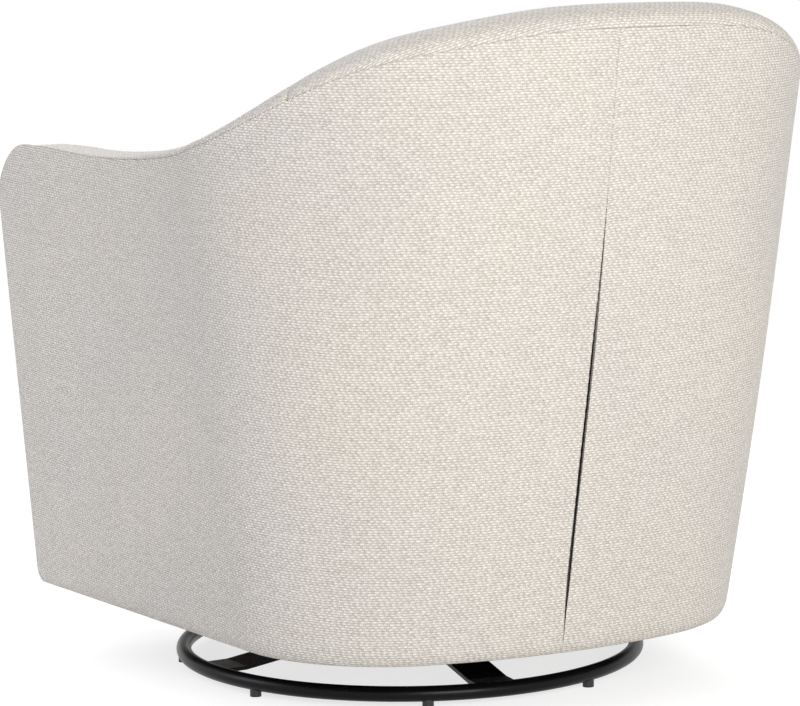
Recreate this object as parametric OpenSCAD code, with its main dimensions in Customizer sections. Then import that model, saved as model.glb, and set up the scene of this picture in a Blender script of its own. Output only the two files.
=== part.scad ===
// Upholstered barrel chair that swivels and glides on a ring base.
// Millimetres. Z is up and the front of the chair faces -Y. Z = 0 is the floor, and X = 0 the middle plane.

/* [Plan of the body] */
// Radius of the back's plan
back_r = 670; // [560:10:900]
// Half of the turn that the back's arc takes, in degrees
back_turn = 14.7; // [12:0.1:18]
// Radius of the rounded back corners
corner_r = 200; // [160:5:240]
// Turn of the outline where the straight sides start, in degrees
side_turn = 85; // [82:0.5:88]
// Length of each straight side
side_l = 535; // [480:5:600]
// Place of the back's foot behind the middle of the footprint
back_y = 301.6; // [280:0.1:330]
// Distance from the back's foot to the swivel axis
axis_back = 387; // [370:1:400]

/* [Walls of the body] */
// Height of the body's lower edge over the floor
foot_z = 75.5; // [70:0.5:90]
// Lean of the back's outside, in degrees
back_lean = 9.6; // [6:0.1:12]
// Lean of the arms' outside, in degrees
side_lean = 4.8; // [2:0.1:7]
// Height of the outside seam at the back
back_seam_z = 815; // [760:5:880]
// Height of the outside seam at the arms
arm_seam_z = 647; // [610:2:680]
// Distance along the wall at which the top has come half way down
fall_l = 315; // [270:5:340]
// Rise of the top roll over the seam at the back
back_roll_h = 26; // [15:1:35]
// Rise of the top roll over the seam at the arms
arm_roll_h = 4; // [3:1:12]
// Drop of the top roll to the inside face
inside_roll_h = 38; // [25:1:50]
// Thickness of the back with its padding
back_wall_t = 88; // [80:1:100]
// Thickness of the arms' top with their padding
arm_wall_t = 102; // [90:1:112]
// Radius of the upper front corner of the arms
arm_corner_l = 78; // [60:1:100]
arm_corner_h = 180; // [120:1:200]
// Draw-in of the lower edge
foot_in = 6; // [3:0.5:10]
// Height over which the lower edge is drawn in
foot_h = 20; // [12:1:30]
// Thickness of the outside cover
cover_t = 3; // [2:0.5:4]
// Thickness of the padded arm front
front_pad_t = 22; // [16:1:28]
// Rounding of the arm front
front_pad_r = 16; // [8:1:16]
// Width of the closure slit at the middle of the back
slit_w = 1.4; // [0.8:0.1:3]

/* [Seat] */
// Height of the deck under the cushion
deck_z = 318; // [300:2:330]
// Thickness of the deck padding
deck_t = 26; // [20:1:30]
// Height of the cushion's side between its seams
cushion_side_h = 96; // [80:2:120]
// Crown of the cushion over its upper seam
cushion_crown = 26; // [12:1:40]
// Crown of the cushion under its lower seam
cushion_under = 9; // [4:1:14]
// Clearance between the cushion and the arms
cushion_gap = 3; // [2:0.5:6]
// Swell of the inside padding
pad_swell = 12; // [6:1:16]
// Number of zigzag seat springs
spring_n = 7; // [5:1:7]
// Width of a seat spring
spring_w = 44; // [36:1:50]
// Diameter of the spring wire
spring_d = 3.6; // [3:0.1:4]
// Distance between two seat springs
spring_step = 64; // [54:1:66]

/* [Timber frame] */
// Thickness of the posts across the wall
post_t = 26; // [20:1:30]
// Height of the bottom rail
bottom_rail_h = 28; // [22:1:34]
// Width of the bottom rail across the wall
bottom_rail_w = 38; // [34:1:42]
// Height of the seat rail
seat_rail_h = 24; // [18:1:30]
// Width of the seat rail across the wall
seat_rail_w = 30; // [24:1:36]
// Height of the top rail
top_rail_h = 40; // [30:1:50]
// Thickness of the front rail and the cross rails
board_t = 22; // [18:1:26]
// Height of the cross rails
cross_rail_h = 42; // [36:1:50]

/* [Base] */
// Turn of the base under the chair, in degrees
base_turn = 43.5; // [0:0.5:90]
// Outer diameter of the floor ring
ring_d = 594; // [540:2:640]
// Diameter of the ring's tube
tube_d = 19; // [16:0.5:25]
// Height of the glides under the tube
glide_h = 7; // [5:0.5:10]
// Diameter of the glides
glide_d = 14; // [10:1:18]
// Width of the base arms
arm_w = 50; // [40:1:60]
// Thickness of the base arms
arm_t = 5; // [4:0.5:6]
// Half of the angle between two base arms, in degrees
arm_half_angle = 40; // [38:1:45]
// Diameter of the hub plate
hub_d = 150; // [130:2:160]

/* [Swivel and glide] */
// Height of the hub plate's top over the floor
hub_z = 51; // [50:0.5:52]
// Height of the swivel bearing
bearing_h = 11; // [11:0.5:12]
// Diameter of the king pin
king_d = 16; // [14:1:20]
// Length of the swing links between their pivots
link_l = 110; // [100:1:116]
// Width of the swing links
link_w = 24; // [20:1:28]
// Thickness of the swing links
link_t = 6; // [5:0.5:7]
// Half of the distance between the front and the rear links
link_half_y = 120; // [110:1:126]
// Room between the glide rails and the timber beside them
rail_room = 32; // [26:1:38]
// Height of the lower pivots over the floor
lower_pivot_z = 91; // [90:0.5:93]
// Diameter of the pivot pins
pin_d = 10; // [8:0.5:11]
// Swing of the links to each side, in degrees
swing = 28; // [20:1:30]

/* [Hidden] */
// Clearance between pieces that lie on each other
seat_gap = 0.3;
// Running clearance on the radius of pins in bushes
run_gap = 0.05;
// Clearance on the radius of a piece that is fixed in its hole
fix_gap = 0.02;
// Clearance between the curved layers of the wall
layer_gap = 1;
// Overrun of the cuts
cut = 1;

// Places along the wall are measured on the outline from the middle of the back.
arc_l = back_r * back_turn * PI / 180;
side_s = arc_l + corner_r * (side_turn - back_turn) * PI / 180;
end_s = side_s + side_l;
stations_n = 24;
corner_shares = [0.38, 0.71, 0.88, 0.96, 0.99];
// The lean changes between these shares of the wall's length
lean_shares = [0.1, 0.62];
fall_power = 5;
crown_share = 0.15;
roll_power = 4;
roll_fall_share = 1.2;
roll_steps = 5;
inside_rows = 5;
outside_rows = 4;

post_d = cover_t + layer_gap;
inner_d = post_d + post_t;
pad_d = inner_d + 2 * layer_gap;
deck_low_z = deck_z - deck_t;
seat_rail_z = deck_low_z - spring_d - 2 * seat_gap - seat_rail_h;
axis_y = back_y - axis_back;
tube_r = tube_d / 2;
ring_r = ring_d / 2 - tube_r;
ring_z = glide_h + tube_r;

function smooth(t) = let (c = min(max(t, 0), 1)) c * c * (3 - 2 * c);
// Angle of the outline's outward direction from the back's, toward +X
function turn_at(s) = s < arc_l ? s / back_r * 180 / PI
    : s < side_s ? back_turn + (s - arc_l) / corner_r * 180 / PI : side_turn;
corner_c = [(back_r - corner_r) * sin(back_turn), back_y - back_r + (back_r - corner_r) * cos(back_turn)];
side_p = corner_c + corner_r * [sin(side_turn), cos(side_turn)];
function plan_at(s) = let (a = turn_at(s))
    s < arc_l ? [back_r * sin(a), back_y - back_r + back_r * cos(a)]
    : s < side_s ? corner_c + corner_r * [sin(a), cos(a)]
    : side_p + (s - side_s) * [cos(side_turn), -sin(side_turn)];
// 0 at the back and 1 along the arms
function arm_part(s) = smooth((s / end_s - lean_shares[0]) / (lean_shares[1] - lean_shares[0]));
function lean_at(s) = tan(back_lean) * (1 - arm_part(s)) + tan(side_lean) * arm_part(s);
function thick_at(s) = back_wall_t * (1 - arm_part(s)) + arm_wall_t * arm_part(s);
// Height of the outside seam: crowned at the back, and ended at the arm's front by a quarter of an ellipse
function corner_drop(s) = let (u = max(s - end_s + arm_corner_l, 0) / arm_corner_l)
    arm_corner_h * (1 - sqrt(max(1 - u * u, 0)));
function seam_at(s) = arm_seam_z - corner_drop(s)
    + (back_seam_z - arm_seam_z) / (1 + crown_share * pow(s / fall_l, 2) + pow(s / fall_l, fall_power));
function roll_at(s) = arm_roll_h
    + (back_roll_h - arm_roll_h) / (1 + pow(s / (fall_l * roll_fall_share), roll_power));
// A point of the wall: s along it (negative on the other side), z over the floor, d inward from its outside
function wall(s, z, d) = let (t = abs(s), p = plan_at(t), a = turn_at(t),
        o = foot_in + lean_at(t) * (z - foot_z) - d)
    [(p[0] + o * sin(a)) * (s < 0 ? -1 : 1), p[1] + o * cos(a), z];

// Where the wall at height z and depth d passes a given y, and a given x, on the stations' straight steps
function wall_x(y, z, d) = lookup(y, [for (s = half_stations) let (p = wall(s, z, d)) [p[1], p[0]]]);
function wall_y(x, z, d) = lookup(x, [for (s = half_stations) let (p = wall(s, z, d)) [p[0], p[1]]]);

// Where the roll ends on the inside, and the depth of the face under it from the outside: along the arms it
// stands upright, whatever the outside's lean, and it swells between the roll and the deck
function top_at(s) = seam_at(s) + roll_at(s) - inside_roll_h;
function inside_at(s, z) = let (t = abs(s), top = top_at(t))
    thick_at(t) + arm_part(t) * lean_at(t) * (z - top)
    + pad_swell * sin(180 * min(max((top - z) / (top - deck_z), 0), 1));

run_l = end_s - arm_corner_l;
half_stations = concat([for (i = [0:stations_n]) run_l * i / stations_n],
    [for (k = corner_shares) run_l + arm_corner_l * k], [end_s]);
all_stations = concat([for (i = [len(half_stations) - 1:-1:1]) -half_stations[i]], half_stations);
function stations(a, b) = concat([a], [for (s = all_stations) if (s > a + cut && s < b - cut) s], [b]);

// A solid through closed loops of as many points each. Its ends are closed by a fan from each loop's last
// point, or by strips across where the loop goes out along one line and back along another
function end_faces(n, strips) = strips
    ? [for (j = [0:n / 2 - 2]) each [[j, j + 1, n - 1 - j], [j + 1, n - 2 - j, n - 1 - j]]]
    : [for (j = [0:n - 3]) [n - 1, j, j + 1]];
module loft(loops, strips = false) {
    n = len(loops[0]);
    m = len(loops);
    ends = end_faces(n, strips);
    polyhedron(
        points = [for (l = loops) for (p = l) p],
        faces = concat(
            [for (f = ends) [f[2], f[1], f[0]]],
            [for (i = [0:m - 2]) for (j = [0:n - 1]) let (a = i * n + j, b = i * n + (j + 1) % n)
                each [[a, b, b + n], [a, b + n, a + n]]],
            [for (f = ends) [for (k = f) (m - 1) * n + k]]),
        convexity = 6);
}

// A rail of even section from station a to station b
module sweep_box(a, b, d0, d1, z0, z1) {
    loft([for (s = stations(a, b)) [wall(s, z0, d0), wall(s, z0, d1), wall(s, z1, d1), wall(s, z1, d0)]],
        strips = true);
}

module mirror_pair() {
    children();
    mirror([1, 0, 0]) children();
}

// Outside cover of one half, with its drawn-in lower edge
foot_shares = [0.4, 0.2];
module outside_half(a, b) {
    loft([for (s = stations(a, b)) let (t = seam_at(abs(s)) - seat_gap, low = foot_z + foot_h) concat(
        [wall(s, foot_z, foot_in), wall(s, foot_z + foot_h * foot_shares[1], foot_in * foot_shares[0]),
         wall(s, low, 0)],
        [for (k = [1:outside_rows]) wall(s, low + (t - low) * k / outside_rows, 0)],
        [for (k = [outside_rows:-1:0]) wall(s, low + (t - low) * k / outside_rows, cover_t)],
        [wall(s, foot_z + foot_h * foot_shares[1], foot_in * foot_shares[0] + cover_t),
         wall(s, foot_z, foot_in + cover_t)])], strips = true);
}

front_s = end_s - front_pad_t;

module outside_left() color("linen") outside_half(slit_w / 2, front_s - seat_gap);
module outside_right() color("linen") outside_half(-front_s + seat_gap, -slit_w / 2);

// Zip tape behind the closure slit
zip_rise = 30;
zip_l = 540;
zip_w = 28;
zip_t = 0.6;
module zip_tape() color("black") let (d = cover_t + seat_gap, z = foot_z + zip_rise)
    loft([for (s = [-zip_w / 2, 0, zip_w / 2]) [
        wall(s, z, d), wall(s, z + zip_l, d), wall(s, z + zip_l, d + zip_t), wall(s, z, d + zip_t)]],
        strips = true);

// Section of the padded inside: over the roll, down the inside face and back up behind the posts
function roll_loop(s) = let (t = abs(s), h = seam_at(t), r = roll_at(t), m = thick_at(t) / 2) concat(
    [for (k = [0:roll_steps]) let (a = 90 * k / roll_steps) wall(s, h + r * sin(a), m * (1 - cos(a)))],
    [for (k = [1:roll_steps]) let (a = 90 * k / roll_steps)
        wall(s, h + r - inside_roll_h * (1 - cos(a)), m + m * sin(a))]);
function inside_loop(s) = let (t = abs(s), top = top_at(t)) concat(
    roll_loop(s),
    [for (k = [1:inside_rows]) let (z = top + (deck_z - top) * k / inside_rows) wall(s, z, inside_at(t, z))],
    [wall(s, deck_low_z, inside_at(t, deck_low_z)), wall(s, deck_low_z, pad_d), wall(s, seam_at(t), pad_d)]);

corner_s = half_stations[8];
module inside_back() color("linen")
    loft([for (s = stations(-corner_s + seat_gap / 2, corner_s - seat_gap / 2)) inside_loop(s)]);
module inside_arm(side) color("linen")
    loft([for (s = side > 0 ? stations(corner_s + seat_gap / 2, front_s - seat_gap)
        : stations(-front_s + seat_gap, -corner_s - seat_gap / 2)) inside_loop(s)]);
module inside_left() inside_arm(1);
module inside_right() inside_arm(-1);

// Padded front of an arm: the whole wall's section, drawn in toward the front as a quarter round
function front_loop(s, inset) = let (h = seam_at(s), r = roll_at(s), m = arm_wall_t / 2,
        low = foot_z + inset) concat(
    [for (k = [0:roll_steps]) let (a = 90 * k / roll_steps)
        wall(s, h + r * sin(a) - inset, inset + (m - inset) * (1 - cos(a)))],
    [for (k = [1:roll_steps]) let (a = 90 * k / roll_steps)
        wall(s, h + r - inset - (inside_roll_h - inset) * (1 - cos(a)), m + (m - inset) * sin(a))],
    [wall(s, low, inside_at(s, low) - inset), wall(s, low, foot_in + inset),
     wall(s, low + foot_h, inset)]);
// Ring places as shares of the rounding, from its start to the front face
round_shares = [0, 0.5, 0.85, 1];
pad_round_share = 0.8;
module arm_front() color("linen")
    loft(concat([front_loop(front_s, 0)], [for (q = round_shares)
        front_loop(end_s - front_pad_r * (1 - q), front_pad_r * pad_round_share * (1 - sqrt(1 - q * q)))]));
module arm_front_left() arm_front();
module arm_front_right() mirror([1, 0, 0]) arm_front();

// Posts and rails of the timber frame
post_stations = [1, 5, 8, 11, 14, 18];
post_short = 3;
board_under = 2;
module frame_posts() color("burlywood")
    for (side = [-1, 1]) for (i = post_stations)
        let (a = half_stations[i] * side, b = half_stations[i + 1] * side, low = rail_top_z + seat_gap)
        loft([for (s = side > 0 ? [a, b] : [b, a])
            let (rise = seam_at(abs(s)) - board_under - top_rail_h - post_short - low) concat(
                [for (k = [0:outside_rows]) wall(s, low + rise * k / outside_rows, inner_d)],
                [for (k = [outside_rows:-1:0]) wall(s, low + rise * k / outside_rows, post_d)])],
            strips = true);

foot_rise = 5;
rail_z = foot_z + foot_rise;
rail_top_z = rail_z + bottom_rail_h;
// Across: the glide rails' flanges, the rails and the links follow from the timber beside them
cross_y = 235;
rail_steel_t = 4;
rail_gap = 3;
rail_end = 8;
flange_w = 34;
rail_out_x = wall_x(axis_y, rail_z, cover_t + bottom_rail_w) - rail_room;
rail_x = rail_out_x - flange_w - rail_steel_t;
link_x = rail_x - rail_gap - link_t;
rail_back_end = wall_y(rail_out_x + layer_gap, rail_z, cover_t + bottom_rail_w + layer_gap);
echo(link_x = link_x, rail_back_end = rail_back_end);
board_s = front_s - seat_gap * 2 - board_t;
module bottom_rail() color("tan")
    sweep_box(-board_s + seat_gap, board_s - seat_gap, cover_t + foot_in + seat_gap, cover_t + bottom_rail_w,
        rail_z, rail_top_z);
module seat_rail() color("tan")
    sweep_box(-board_s + seat_gap, board_s - seat_gap, inner_d + layer_gap, inner_d + seat_rail_w,
        seat_rail_z, seat_rail_z + seat_rail_h);
module top_rail() color("tan")
    loft([for (s = stations(-board_s + seat_gap, board_s - seat_gap))
        let (t = seam_at(abs(s)) - board_under, low = t - top_rail_h)
        [wall(s, low, post_d), wall(s, low, inner_d), wall(s, t, inner_d), wall(s, t, post_d)]],
        strips = true);

// Boards inside the arm fronts, wider under the deck
board_in = 24;
module arm_boards() color("burlywood")
    for (side = [-1, 1]) let (a = board_s * side, b = (board_s + board_t) * side)
        loft([for (s = side > 0 ? [a, b] : [b, a]) let (t = seam_at(abs(s)) - board_under)
            [wall(s, t, inner_d), wall(s, t, post_d), wall(s, rail_z, post_d + foot_in),
             wall(s, rail_z, inner_d + board_in), wall(s, deck_low_z - seat_gap, inner_d + board_in),
             wall(s, deck_low_z - seat_gap, inner_d)]]);

// Front rail between the arms, its padded cover, and the deck
front_y = plan_at(end_s)[1];
front_cover_t = 24;
front_round_share = 0.6;
front_x = wall(front_s, deck_z, inside_at(front_s, deck_z) + layer_gap)[0];
front_rail_y = front_y + front_cover_t + seat_gap;
board_x = wall(board_s, rail_z, inner_d + board_in)[0];
module front_rail() color("burlywood")
    translate([-board_x + seat_gap, front_rail_y, rail_z])
        cube([2 * (board_x - seat_gap), board_t, seat_rail_z + seat_rail_h - rail_z]);
module front_cover() color("linen") {
    w = front_x - seat_gap;
    r = front_cover_t * front_round_share;
    translate([-w, 0, 0]) rotate([90, 0, 90]) linear_extrude(2 * w) polygon(concat(
        [[front_y + front_cover_t, foot_z], [front_y + front_cover_t, deck_z]],
        [for (k = [0:4]) let (a = 90 + 22.5 * k) [front_y + r + r * cos(a), deck_z - r + r * sin(a)]],
        [[front_y, foot_z + r / 2], [front_y + r / 2, foot_z]]));
}

// Plan of what lies inside the padding at height z, with a gap to it
function inside_plan(gap, z, b) = [for (s = stations(-b, b)) let (p = wall(s, z, inside_at(s, z) + gap))
    [p[0], p[1]]];
module seat_deck() color("dimgray")
    translate([0, 0, deck_low_z]) linear_extrude(deck_t)
        polygon(inside_plan(layer_gap, deck_low_z, board_s + board_t / 2));
dust_t = 1.5;
module dust_cover() color("black")
    translate([0, 0, seat_rail_z - seat_gap - dust_t]) linear_extrude(dust_t)
        polygon([for (s = stations(-board_s + seat_rail_w, board_s - seat_rail_w))
            let (p = wall(s, seat_rail_z - dust_t, inner_d + layer_gap)) [p[0], p[1]]]);

// Seat cushion: a rounded box outline with a crown, seams and sides drawn in between them
cushion_set = 4;
cushion_r = 30;
cushion_front_y = front_y + cushion_set;
cushion_low_z = deck_z + seat_gap + cushion_under;
function cushion_plan(z) = let (p = inside_plan(cushion_gap, z, board_s),
        e = p[len(p) - 1][0], r = cushion_r, y = cushion_front_y)
    concat(p, [for (k = [0:3]) let (a = 30 * k) [e - r + r * cos(a), y + r - r * sin(a)]],
        [for (x = [0.6, 0.2, -0.2, -0.6]) [e * x, y]],
        [for (k = [0:3]) let (a = 90 + 30 * k) [-e + r + r * cos(a), y + r - r * sin(a)]]);
// Shares of the way in from the outline, and of the height at each ring
cushion_shares = [[0.97, -1], [0.7, -0.95], [0.4, -0.75], [0.15, -0.4], [0.03, 0], [0, 0.06], [0.012, 0.3],
    [0.016, 0.5], [0.012, 0.7], [0, 0.94], [0.03, 1], [0.15, 1.4], [0.4, 1.75], [0.7, 1.95], [0.97, 2]];
module seat_cushion() color("linen") {
    mid = [0, (cushion_front_y + back_y) / 2];
    loft([for (c = cushion_shares) let (z = cushion_low_z + (c[1] < 0 ? cushion_under * c[1]
            : c[1] < 1 ? cushion_side_h * c[1] : cushion_side_h + cushion_crown * (c[1] - 1)))
        [for (q = cushion_plan(z)) let (w = q + (mid - q) * c[0]) [w[0], w[1], z]]]);
}

// Zigzag seat springs and their clips
spring_turns = 8;
spring_z = seat_rail_z + seat_rail_h + spring_d / 2 + seat_gap;
spring_front_y = front_rail_y + board_t / 2;
// One spring: its wire waves from side to side around a line along Y, and ends on its outer side
spring_swing = (spring_w - spring_d) / 2;
module seat_spring(x, y1) {
    l = y1 - spring_front_y;
    steps = spring_turns * 6;
    pts = [for (k = [0:steps]) let (t = spring_turns * k / steps)
        [x + spring_swing * cos(180 * t), spring_front_y + l * k / steps]];
    dirs = [for (k = [0:steps]) let (v = pts[min(k + 1, steps)] - pts[max(k - 1, 0)]) v / norm(v)];
    translate([0, 0, spring_z - spring_d / 2]) linear_extrude(spring_d) polygon(concat(
        [for (k = [0:steps]) pts[k] + spring_d / 2 * [-dirs[k][1], dirs[k][0]]],
        [for (k = [steps:-1:0]) pts[k] - spring_d / 2 * [-dirs[k][1], dirs[k][0]]]));
}
function spring_x(i) = (i - (spring_n - 1) / 2) * spring_step - spring_swing;
// The seat rail's middle line at a given x, found on the outline's arcs
function rail_back_y(x) = let (d = inner_d + seat_rail_w / 2 - foot_in - tan(back_lean) * (spring_z - foot_z),
        a = asin(min(abs(x) / (back_r - d), 1)))
    a < back_turn ? back_y - back_r + (back_r - d) * cos(a)
    : corner_c[1] + sqrt(pow(corner_r - d, 2) - pow(abs(x) - corner_c[0], 2));
module seat_springs() color("dimgray")
    for (i = [0:spring_n - 1]) seat_spring(spring_x(i), rail_back_y(spring_x(i) + spring_swing));
clip_w = 9;
clip_l = 14;
clip_t = 2;
module spring_clips() color("silver")
    for (i = [0:spring_n - 1]) for (y = [spring_front_y, rail_back_y(spring_x(i) + spring_swing)])
        translate([spring_x(i) + spring_w / 2 + seat_gap, y - clip_l / 2, spring_z - spring_d / 2 - seat_gap])
            cube([clip_w, clip_l, clip_t]);

// Timber under the seat: two rails whose ends lie on the bottom rail
cross_front_y = axis_y - cross_y;
cross_back_y = rail_back_end - rail_end - board_t / 2;
cross_ys = [cross_front_y, cross_back_y];
cross_rail_z = rail_top_z + seat_gap;
module cross_rail(y)
    let (w = min([for (v = [-1, 1]) wall_x(y + v * board_t / 2, cross_rail_z, inner_d + layer_gap)]))
        translate([-w, y - board_t / 2, cross_rail_z]) cube([2 * w, board_t, cross_rail_h]);
module cross_rail_front() color("burlywood") cross_rail(cross_front_y);
module cross_rail_rear() color("burlywood") cross_rail(cross_back_y);
block_l = 60;
block_h = 30;
block_x = wall(board_s, seat_rail_z, inner_d + seat_rail_w)[0];
module corner_blocks() color("tan") mirror_pair()
    translate([block_x - block_l - layer_gap, front_rail_y + board_t + seat_gap,
            seat_rail_z - dust_t - 2 * seat_gap - block_h])
        linear_extrude(block_h) polygon([[0, 0], [block_l, 0], [block_l, block_l]]);

// Steel rails that the chair hangs from
rail_under = 5;
bush_t = 3;
bush_r = pin_d / 2 + bush_t;
glide_rail_z = lower_pivot_z - bush_r - rail_under;
rail_front_end = cross_front_y - board_t / 2 - rail_end;
module glide_rail() difference() {
    translate([rail_x, rail_front_end, 0]) let (l = rail_back_end - rail_front_end) {
        translate([0, 0, glide_rail_z]) cube([rail_steel_t, l, rail_top_z - glide_rail_z]);
        translate([0, 0, rail_top_z - rail_steel_t]) cube([flange_w + rail_steel_t, l, rail_steel_t]);
    }
    for (y = [-link_half_y, link_half_y])
        translate([rail_x - cut, axis_y + y, lower_pivot_z]) rotate([0, 90, 0])
            cylinder(r = pin_d / 2 + fix_gap, h = rail_steel_t + 2 * cut, $fn = 48);
    for (y = cross_ys)
        translate([rail_x + rail_steel_t + flange_w / 2, y, rail_top_z - rail_steel_t - cut])
            cylinder(r = bolt_d / 2 + run_gap, h = rail_steel_t + 2 * cut, $fn = 32);
}
module glide_rails() color("dimgray") mirror_pair() glide_rail();
bolt_d = 8;
bolt_head_d = 15;
bolt_head_h = 5;
module rail_bolts() color("silver") mirror_pair()
    for (y = cross_ys)
        translate([rail_x + rail_steel_t + flange_w / 2, y, rail_top_z - rail_steel_t - bolt_head_h]) {
            cylinder(d = bolt_head_d, h = bolt_head_h, $fn = 6);
            cylinder(d = bolt_d, h = bolt_head_h + rail_steel_t, $fn = 32);
        }

// A pin along X with a head on one end and a clip on the other; x0 is its head's face, and it points to +X
clip_gap = 0.4;
clip_d = 16;
clip_h = 2;
module pin_x(x0, head_h, length, z, y) translate([x0, axis_y + y, z]) rotate([0, 90, 0]) {
    cylinder(d = clip_d, h = head_h, $fn = 32);
    cylinder(d = pin_d, h = length, $fn = 48);
    translate([0, 0, length - clip_h]) cylinder(d = clip_d, h = clip_h, $fn = 32);
}
upper_pivot_z = lower_pivot_z + link_l;
hanger_t = 4;
hanger_gap = clip_gap + clip_h + 2 * seat_gap;
hanger_x = link_x - hanger_t - hanger_gap;
head_h = 5;
module upper_pins() color("silver") mirror_pair()
    for (y = [-link_half_y, link_half_y])
        pin_x(hanger_x - head_h, head_h, head_h + hanger_t + hanger_gap + link_t + clip_gap + clip_h,
            upper_pivot_z, y);
module lower_pins() color("silver") mirror_pair()
    for (y = [-link_half_y, link_half_y])
        translate([2 * rail_x + rail_steel_t, 0, 0]) mirror([1, 0, 0])
            pin_x(rail_x - head_h, head_h, head_h + rail_steel_t + rail_gap + link_t + clip_gap + clip_h,
                lower_pivot_z, y);

// Swing links with a bush in each eye
module swing_link(side, y) color("dimgray") translate([side > 0 ? link_x : -link_x - link_t, axis_y + y, 0])
    rotate([90, 0, 90]) linear_extrude(link_t) difference() {
        union() {
            translate([0, lower_pivot_z]) circle(d = link_w, $fn = 48);
            translate([0, upper_pivot_z]) circle(d = link_w, $fn = 48);
            translate([-link_w / 2, lower_pivot_z]) square([link_w, link_l]);
        }
        for (z = [lower_pivot_z, upper_pivot_z]) translate([0, z]) circle(r = bush_r + fix_gap, $fn = 48);
    }
module link_bushes(side, y) color("white") translate([side > 0 ? link_x : -link_x - link_t, axis_y + y, 0])
    rotate([90, 0, 90]) linear_extrude(link_t)
        for (z = [lower_pivot_z, upper_pivot_z]) translate([0, z]) difference() {
            circle(r = bush_r, $fn = 48);
            circle(r = pin_d / 2 + run_gap, $fn = 48);
        }
module link_front_left() swing_link(1, -link_half_y);
module link_rear_left() swing_link(1, link_half_y);
module link_front_right() swing_link(-1, -link_half_y);
module link_rear_right() swing_link(-1, link_half_y);
module bushes_front_left() link_bushes(1, -link_half_y);
module bushes_rear_left() link_bushes(1, link_half_y);
module bushes_front_right() link_bushes(-1, -link_half_y);
module bushes_rear_right() link_bushes(-1, link_half_y);

// Rotating frame that carries the links
plate_w = 190;
plate_t = 4;
plate_z = hub_z + bearing_h;
channel_w = 40;
channel_t = 3;
channel_h = 26;
channel_y = 62;
channel_z = plate_z + plate_t;
module swivel_plate() color("dimgray") difference() {
    translate([-plate_w / 2, axis_y - plate_w / 2, plate_z]) cube([plate_w, plate_w, plate_t]);
    translate([0, axis_y, plate_z - cut]) cylinder(r = king_d / 2 + run_gap, h = plate_t + 2 * cut, $fn = 64);
    for (x = [-plate_bolt_x, plate_bolt_x]) for (y = [-channel_y, channel_y])
        translate([x, axis_y + y, plate_z - cut])
            cylinder(r = bolt_d / 2 + run_gap, h = plate_t + 2 * cut, $fn = 32);
}
plate_bolt_x = 75;
module cross_channel(y) translate([0, axis_y + y, channel_z]) difference() {
    translate([-hanger_x + seat_gap, -channel_w / 2, 0])
        cube([2 * (hanger_x - seat_gap), channel_w, channel_h]);
    translate([-hanger_x, -channel_w / 2 + channel_t, channel_t])
        cube([2 * hanger_x, channel_w - 2 * channel_t, channel_h]);
    for (x = [-plate_bolt_x, plate_bolt_x]) translate([x, 0, -cut])
        cylinder(r = bolt_d / 2 + run_gap, h = channel_t + 2 * cut, $fn = 32);
}
module channel_front() color("dimgray") cross_channel(-channel_y);
module channel_rear() color("dimgray") cross_channel(channel_y);
low_head_h = 3;
plate_nut_h = 6;
module plate_bolts() color("silver")
    for (x = [-plate_bolt_x, plate_bolt_x]) for (y = [-channel_y, channel_y])
        translate([x, axis_y + y, plate_z - low_head_h]) {
            grip = low_head_h + plate_t + channel_t;
            cylinder(d = bolt_head_d, h = low_head_h, $fn = 48);
            cylinder(d = bolt_d, h = grip + plate_nut_h + cut, $fn = 32);
            translate([0, 0, grip]) cylinder(d = bolt_head_d, h = plate_nut_h, $fn = 6);
        }
hanger_foot = 88;
hanger_top = 138;
hanger_over = 14;
hanger_under = 20;
hanger_hole_r = 34;
hanger_top_z = upper_pivot_z + hanger_over;
module hanger(side) color("dimgray") translate([side > 0 ? hanger_x : -hanger_x - hanger_t, axis_y, 0])
    rotate([90, 0, 90]) linear_extrude(hanger_t) difference() {
        let (low = upper_pivot_z - hanger_under) polygon([[-hanger_foot, channel_z], [hanger_foot, channel_z],
            [hanger_top, low], [hanger_top, hanger_top_z], [-hanger_top, hanger_top_z], [-hanger_top, low]]);
        for (y = [-link_half_y, link_half_y]) translate([y, upper_pivot_z])
            circle(r = pin_d / 2 + fix_gap, $fn = 48);
        for (y = [-stop_y, stop_y]) translate([y, stop_z]) circle(r = stop_pin_d / 2 + fix_gap, $fn = 32);
        translate([0, (channel_z + channel_h + upper_pivot_z) / 2]) circle(r = hanger_hole_r, $fn = 64);
    }
module hanger_left() hanger(1);
module hanger_right() hanger(-1);

// Rubber stops that the links meet at the end of their swing
stop_d = 14;
stop_pin_d = 6;
stop_l = 62;
stop_reach = link_w / 2 + stop_d / 2 + clip_gap;
stop_y = link_half_y - stop_l * sin(swing) - stop_reach * cos(swing);
stop_z = upper_pivot_z - stop_l * cos(swing) + stop_reach * sin(swing);
stop_head_h = 4;
module stop_pins() color("silver") mirror_pair() for (y = [-stop_y, stop_y])
    translate([hanger_x - stop_head_h, axis_y + y, stop_z]) rotate([0, 90, 0]) {
        cylinder(d = stop_d, h = stop_head_h, $fn = 32);
        cylinder(d = stop_pin_d, h = stop_head_h + hanger_t + hanger_gap + link_t, $fn = 32);
    }
module rubber_stops() color("black") mirror_pair() for (y = [-stop_y, stop_y])
    translate([hanger_x + hanger_t + seat_gap, axis_y + y, stop_z]) rotate([0, 90, 0]) difference() {
        cylinder(d = stop_d, h = hanger_gap + link_t - seat_gap, $fn = 32);
        translate([0, 0, -cut])
            cylinder(r = stop_pin_d / 2 + fix_gap, h = hanger_gap + link_t + 2 * cut, $fn = 32);
    }

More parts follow.
